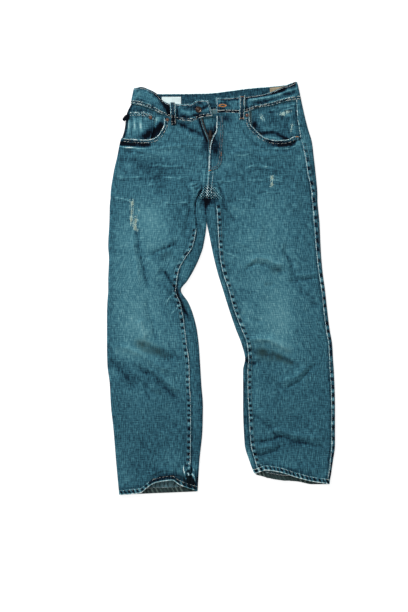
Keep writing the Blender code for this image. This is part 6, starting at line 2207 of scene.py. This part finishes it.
# The right edge of the fly is sewn in dark thread, to match the painted shadow along it.
sew("dark", fronts["right"], waved(over(right, beside(right.fly, 2.0)[1:-1]), 11, 0.15))
for inside in (1.4, 11.4):
    y = np.arange(288, 234, -3.0)
    seam = np.column_stack([left.at("inseam", y) + inside, y])
    sew("pale", fronts["left"], waved(over(left, seam), 12, 0.2))

# The waistband: one row under the top edge, two above the waist seam, and one across each end.
for up, kind, seed in ((BAND_HEIGHT - 3.4, "pale", 13), (2.6, "rope", 14), (7.4, "rope", 18)):
    along = np.arange(3.0, band.length - 3.0, 3.0)
    place, normal, _ = band.surface(along, up + 0.25 * ripples(along, 30.0, seed))
    sew(kind, band_cloth, place + normal * 1.5)
for end in (3.0, band.length - 3.0):
    up = np.arange(4.0, BAND_HEIGHT - 3, 3.0)
    place, normal, _ = band.surface(level(up, end), up)
    sew("pale", band_cloth, place + normal * 1.5)

# The coin pocket's doubled top, the loops, and the patch pockets and yokes on the seat.
for down in (2.2, 8.6):
    x = np.arange(-226, -166, 3.0)
    y = COIN_TOP(x) - down
    sew("mixed", coin, np.column_stack([x, y, behind_mouth(right, x, y, 1.0) + 2]))
for side in FRONT_LOOPS:
    for share in (-0.62, 0.62):
        up = np.linspace(0.03, 0.97, 20)
        sew("mixed", loops[side], loop_place(side, level(up, share), up) + (0, 0, 2.0))
for side, ob in patch_pockets.items():
    for inset in (2.2, 8.0):
        side_share, down_share = 1 - inset / (POCKET_WIDTH / 2), inset / POCKET_DEPTH
        down = np.linspace(down_share, 1 - down_share, 45)
        across_it = np.linspace(-side_share, side_share, 30)
        down_all = np.concatenate([down, level(across_it, 1 - down_share), down[::-1]])
        across_all = np.concatenate([level(down, -side_share), across_it, level(down, side_share)])
        x, y = pocket_place(side, across_all, down_all)
        sew("rust", ob, np.column_stack([x, y, 0 * x - 1.0]))
for side, leg in legs.items():
    seam = smooth(YOKE_SEAMS[side])
    x = np.arange(*YOKE_STITCHING[side], LINE_STEP)
    for inset in (2.4, 7.8):
        sew("rust", yokes[side], over(leg, np.column_stack([x, seam(x) + inset]), "back"))
for inset in (2.2, 7.4):
    y = np.arange(236, 384, LINE_STEP)
    sew("rust", backs["left"], over(left, np.column_stack([level(y, CENTRE + inset), y]), "back"))


def bar_tack(ob, place, angle, length):
    """A bar tack: one dense run of overlapping stitches."""
    angle = math.radians(angle)
    way = np.array([math.cos(angle), math.sin(angle), 0.0])
    return laid(ob, np.array(place)[None, :] + way * np.linspace(-length / 2, length / 2, 7)[:, None])


tacks = [bar_tack(*row) for row in TACKS]
turn = np.linspace(0, math.tau, 40)
taper = 1 - 0.35 * rise(np.cos(turn) - 0.2, 0.8)
for half_width, half_height in BUTTONHOLE_RINGS:
    x = BUTTONHOLE_AT[0] + half_width * np.cos(turn)
    y = BUTTONHOLE_AT[1] + half_height * taper * np.sin(turn)
    tacks.append(laid(band_cloth, np.column_stack([x, y, level(turn, BAND_TOP + 2)])))
dark_tacks = [bar_tack(*row) for row in DARK_TACKS]

stitching = []
for kind, lines in runs.items():
    stitching.append(made(
        f"stitches_{kind}", STITCH, lines, Pitch=STITCH_PITCH * MM, Length=STITCH_LENGTH * MM,
        Thickness=STITCH_WIDTHS[kind] * MM, Seed=3, Finish=FINISHES[kind],
    ))
for name, lines, finish in (("bar_tacks", tacks, ORANGE_THREAD), ("bar_tacks_dark", dark_tacks, DARK_THREAD)):
    stitching.append(made(
        name, STITCH, lines, Pitch=TACK_PITCH * MM, Length=TACK_WIDTH * MM, Thickness=TACK_THREAD * MM,
        Seed=5, Finish=finish,
    ))

# %% [markdown]
# ## Threads of the rips
# In a rip the white weft threads still cross the hole, a little slack and uneven, and the ends of broken
# warp threads stand out at its edge. Every thread is a loose strand with its own sag, from one seed.

# %% Threads of the rips
WEFT_PITCH = 0.85
WEFT_THICKNESS = 0.42
RIP_SEEDS = {"right": 101, "left": 102}
UPWARDS = (0.0, 0.0, 1.0)
WEFT_ENDS = np.array([-0.5, 0.1, 0, 0, 0, 0.1, -0.5])  # the ends go down into the cloth
FRAY_RISE = np.array([-0.1, 0.25, 0.5, 0.7])


def rip_threads(leg, seed):
    """Weft threads across each rip and fray at its edge, as runs with their directions."""
    rng = np.random.default_rng(seed)
    found = []

    def strand(line, lift):
        z, _ = leg.surface("front", line[:, 0], line[:, 1])
        found.append((np.column_stack([line, z + lift]), np.tile(UPWARDS, (len(line), 1))))

    bow = np.sin(np.linspace(0, math.pi, len(WEFT_ENDS)))
    for x0, y0, half_width, half_length, _ in RIPS[leg.side]:
        for y in np.arange(y0 - half_length - 0.6, y0 + half_length + 0.6, WEFT_PITCH):
            narrowing = math.sqrt(max(0.15, 1 - ((y - y0) / (half_length + 1)) ** 2))
            reach = half_width * narrowing + rng.uniform(0.8, 1.9)
            x = np.linspace(x0 - reach, x0 + reach, len(bow))
            wander = rng.normal(0, 0.22) + rng.normal(0, 0.18) * bow
            line = np.column_stack([x, y + wander + 0.12 * rng.normal(size=len(bow))])
            strand(line, 0.15 + WEFT_ENDS + bow * rng.uniform(-0.5, 0.5))
        for _ in range(int(5 * half_length)):
            angle = rng.uniform(0, math.tau)
            start = (x0 + half_width * 1.15 * math.cos(angle), y0 + half_length * 1.1 * math.sin(angle))
            way = np.array([rng.normal(0, 0.5) - 0.2 * math.cos(angle), rng.normal(0, 1.0)])
            way = way / np.linalg.norm(way) * rng.uniform(1.5, 4.0)
            step = np.linspace(0, 1, len(FRAY_RISE))[:, None]
            bend = np.array([-way[1], way[0]]) * step**2 * rng.normal(0, 0.35)
            strand(start + way * step + bend, FRAY_RISE * rng.uniform(0.3, 1.0))
    return found


rip_runs = [run for side, seed in RIP_SEEDS.items() for run in rip_threads(legs[side], seed)]
rip_fill = made("rip_threads", STRAND, rip_runs, Thickness=WEFT_THICKNESS * MM, Finish=RAW_THREAD)

# %% [markdown]
# ## Zip, button and rivets
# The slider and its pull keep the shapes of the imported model, because the pull is the part that moves. The
# brass of the zip has gone dark. Each side of the open zip has a row of small teeth on the edge of its tape.
# The waist button and the copper rivets are turned shapes, drawn as a short profile spun round.

# %% Zip, button and rivets
SPOTS = 1400.0
METAL_SHARP = math.radians(38)


def metal(name, colour, dark, rough=0.38):
    """Worn metal with a darker tarnish in patches."""
    finish = Finish(name, Metallic=1.0)
    place = finish.node("ShaderNodeTexCoord", output="Object")
    tarnish = finish.noise(place, SPOTS, 3.0)
    fine = finish.noise(place, 4 * SPOTS, 2.0)
    amount = (tarnish + (fine - 0.5) * 0.4).between(0.35, 0.68)
    finish.bump(fine, 0.25, 0.0002)
    return finish.set(Base_Color=finish.mix(amount, colour, dark), Roughness=amount * 0.25 + rough)


BRONZE = metal("old bronze", (0.075, 0.052, 0.042), (0.016, 0.012, 0.011), 0.26)
COPPER = metal("copper", (0.24, 0.14, 0.11), (0.030, 0.018, 0.016), 0.32)
TEETH_METAL = metal("brass teeth", (0.065, 0.055, 0.045), (0.014, 0.013, 0.013))
ZIP_METAL = metal("zip bronze", (0.045, 0.037, 0.032), (0.012, 0.011, 0.010))


def turned(name, centre, profile, finish, tilt, steps=40):
    """A shape spun round an upright axis from (radius, height) points, closed at both ends."""
    profile = np.array(profile, float)
    angle = np.linspace(0, math.tau, steps, endpoint=False)
    ring = np.stack([np.cos(angle), np.sin(angle)], axis=1)
    points = [np.column_stack([ring * r, np.full(steps, z)]) for r, z in profile]
    points = np.vstack([*points, [[0, 0, profile[0, 1]]], [[0, 0, profile[-1, 1]]]])
    points[:, 2] += points[:, 0] * tilt[0] + points[:, 1] * tilt[1]
    top, first, last = (len(profile) - 1) * steps, len(profile) * steps, len(profile) * steps + 1
    sides, ends = [], []
    for i in range(steps):
        j = (i + 1) % steps
        sides += [(low + i, low + j, low + steps + j, low + steps + i) for low in range(0, top, steps)]
        ends += [(first, j, i), (last, top + i, top + j)]
    mesh = bpy.data.meshes.new(name)
    mesh.from_pydata(((points + centre) * MM).tolist(), [], sides + ends)
    mesh.shade_smooth()
    mesh.materials.append(finish)
    mesh.set_sharp_from_angle(angle=METAL_SHARP)
    return put(name, mesh)


def seat(ob, x, y):
    """The front face of a piece at (x, y), as a place in millimetres."""
    height = float(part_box("waist_button")[0].z) / MM
    places, _ = laid(ob, [(x, y, height)], 0.0)
    return places[0]


# radius, height
BUTTON_PROFILE = (
    (7.0, 0.0), (7.9, 0.5), (8.0, 1.7), (7.5, 2.5), (6.6, 2.9), (5.9, 2.6), (5.2, 2.0), (3.6, 1.9),
    (3.0, 2.4), (2.2, 2.9), (1.2, 3.1), (0.3, 3.15),
)
RIVET_PROFILE = (
    (4.1, 0.0), (4.3, 0.35), (4.0, 0.7), (3.1, 0.75), (2.3, 0.65), (1.9, 1.1), (1.2, 1.5), (0.3, 1.6),
)
BUTTON_AT = (-56.0, 446.0)
RIVETS = {
    "rivet_coin": (coin, -176, 426),
    "rivet_pocket_right": (fronts["right"], -134, 421),
    "rivet_pocket_left": (fronts["left"], 65, 432),
}
button_seat = seat(band_cloth, *BUTTON_AT) + (0, 0, 0.1)
button = turned("button", button_seat, BUTTON_PROFILE, BRONZE, (0.05, -0.06))
rivets = {}
for node, (ob, x, y) in RIVETS.items():
    rivets[node] = turned(f"{node}_cap", seat(ob, x, y), RIVET_PROFILE, COPPER, (0.03, 0.04), 24)
for node in ("zip_slider", "zip_pull"):
    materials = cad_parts[node].data.materials
    materials.clear()
    materials.append(ZIP_METAL)


# low y, high y, distance inside the tape's edge; above the slider the left row is under the flap
TEETH = {"right": ((303, 371.5, 0.0), (385, 427, 0.4)), "left": ((302, 371.5, 0.0),)}
TOOTH_PITCH, TOOTH_LENGTH, TOOTH_WIDTH, TOOTH_HEIGHT = 2.0, 2.6, 1.1, 1.7


def teeth_rows():
    """A row of teeth on the edge of each tape, meshed below the slider."""
    rows = []
    for side, (_, free, y) in tapes.items():
        edge = smooth(list(zip(y, free)))
        way = -1 if side == "right" else 1
        for low, high, inset in TEETH[side]:
            up = np.arange(low, high, 4.0)
            height = FLY_HEIGHT - DENIM - GAP + 0.2
            line = np.column_stack([edge(up) + way * inset, up, level(up, height)])
            rows.append((line, np.tile(UPWARDS, (len(up), 1))))
    return rows


teeth = made(
    "zip_teeth", TOOTH, teeth_rows(), Pitch=TOOTH_PITCH * MM, Length=TOOTH_LENGTH * MM,
    Width=TOOTH_WIDTH * MM, Height=TOOTH_HEIGHT * MM, Finish=TEETH_METAL,
)

# %% [markdown]
# ## Floor, light and camera
# The jeans lie on a plain white floor under one large soft light from the waist side, with a bright even
# sky. The camera looks straight down, as a garment is shown flat for sale.

# %% Floor, light and camera
VIEW_HEIGHT = 1.53
VIEW_CENTRE = (-0.0425, -0.04375)
LENS = 85.0
SENSOR = 36.0
CAMERA_REACH = 50
FLOOR_HALF = 4
FLOOR_Z = -0.0006
FLOOR_GREYS = ((0.33, 0.33, 0.33), (0.35, 0.35, 0.35))
FLOOR_GLOW = 0.78
WHITE = (1.0, 1.0, 1.0)
WINDOW_SIZE, WINDOW_POWER, WINDOW_AT = 1.9, 300.0, (-2.5, 3.4, 2.5)
SKY_STRENGTH = 0.62


def stage_floor():
    """A white floor that glows a little, so that it stays white round the cloth."""
    corners = [(x * FLOOR_HALF, y * FLOOR_HALF, FLOOR_Z) for x, y in ((-1, -1), (1, -1), (1, 1), (-1, 1))]
    mesh = bpy.data.meshes.new("floor")
    mesh.from_pydata(corners, [], [(0, 1, 2, 3)])
    paper = Finish("white floor", Roughness=0.9, Emission_Strength=FLOOR_GLOW)
    tint = paper.noise(paper.node("ShaderNodeTexCoord", output="Object"), 3.0)
    mesh.materials.append(paper.set(Base_Color=paper.mix(tint, *FLOOR_GREYS), Emission_Color=WHITE))
    put("floor", mesh)


def soft_light(name, size, power, place):
    """A round light that shines at the middle of the garment."""
    data = bpy.data.lights.new(name, "AREA")
    data.shape = "DISK"
    data.size = size
    data.energy = power
    light = put(name, data)
    light.location = place
    light.rotation_euler = (-light.location).to_track_quat("-Z", "Y").to_euler()


stage_floor()
soft_light("window", WINDOW_SIZE, WINDOW_POWER, WINDOW_AT)
world = bpy.data.worlds.new("sky")
bpy.context.scene.world = world
world.use_nodes = True
sky = world.node_tree.nodes["Background"].inputs
sky["Color"].default_value = (*WHITE, 1.0)
sky["Strength"].default_value = SKY_STRENGTH
bpy.context.scene.view_settings.view_transform = "Standard"
bpy.context.scene.view_settings.look = "None"

lens = bpy.data.cameras.new("camera")
lens.lens = LENS
lens.sensor_width = SENSOR
lens.clip_end = CAMERA_REACH
camera = put("camera", lens)
camera.location = (*VIEW_CENTRE, VIEW_HEIGHT * LENS / SENSOR)
bpy.context.scene.camera = camera

# %% [markdown]
# ## What each piece stands for
# Each piece of cloth and each cap takes the place of one plain solid of the imported model, which is hidden,
# and moves with the garment. The thread, the rip threads and the zip teeth only ride on it.

# %% What each piece stands for
SIDES = ("right", "left")
PAIRED = {
    "front_panel": fronts, "back_panel": backs, "yoke": yokes, "pocket_facing": facings,
    "back_pocket": patch_pockets, "belt_loop_front": loops, "hem": hems,
    "zip_tape": {side: tapes[side][0] for side in SIDES},
}
cloths = {
    "waistband": band_cloth, "coin_pocket": coin, "fly_shield": shield, "side_tab": tab,
    "inner_label": inner_label, "tan_label": tan_label,
}
cloths.update({f"{kind}_{side}": piece[side] for kind, piece in PAIRED.items() for side in SIDES})
cloths.update({f"belt_loop_{side}": ob for side, ob in back_loops.items()})
for node, ob in cloths.items():
    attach(ob, "garment")
    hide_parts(node)
    kind = node.removesuffix("_right").removesuffix("_left")
for node, ob in {"waist_button": button, **rivets}.items():
    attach(ob, "garment")
    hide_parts(node)
    "bronze" if ob == button else "copper"
for ob in [*stitching, rip_fill, teeth]:
    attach(ob, "garment")
print("pieces of cloth:", len(cloths), "- caps:", 1 + len(rivets), "- thread and teeth:", len(stitching) + 2)
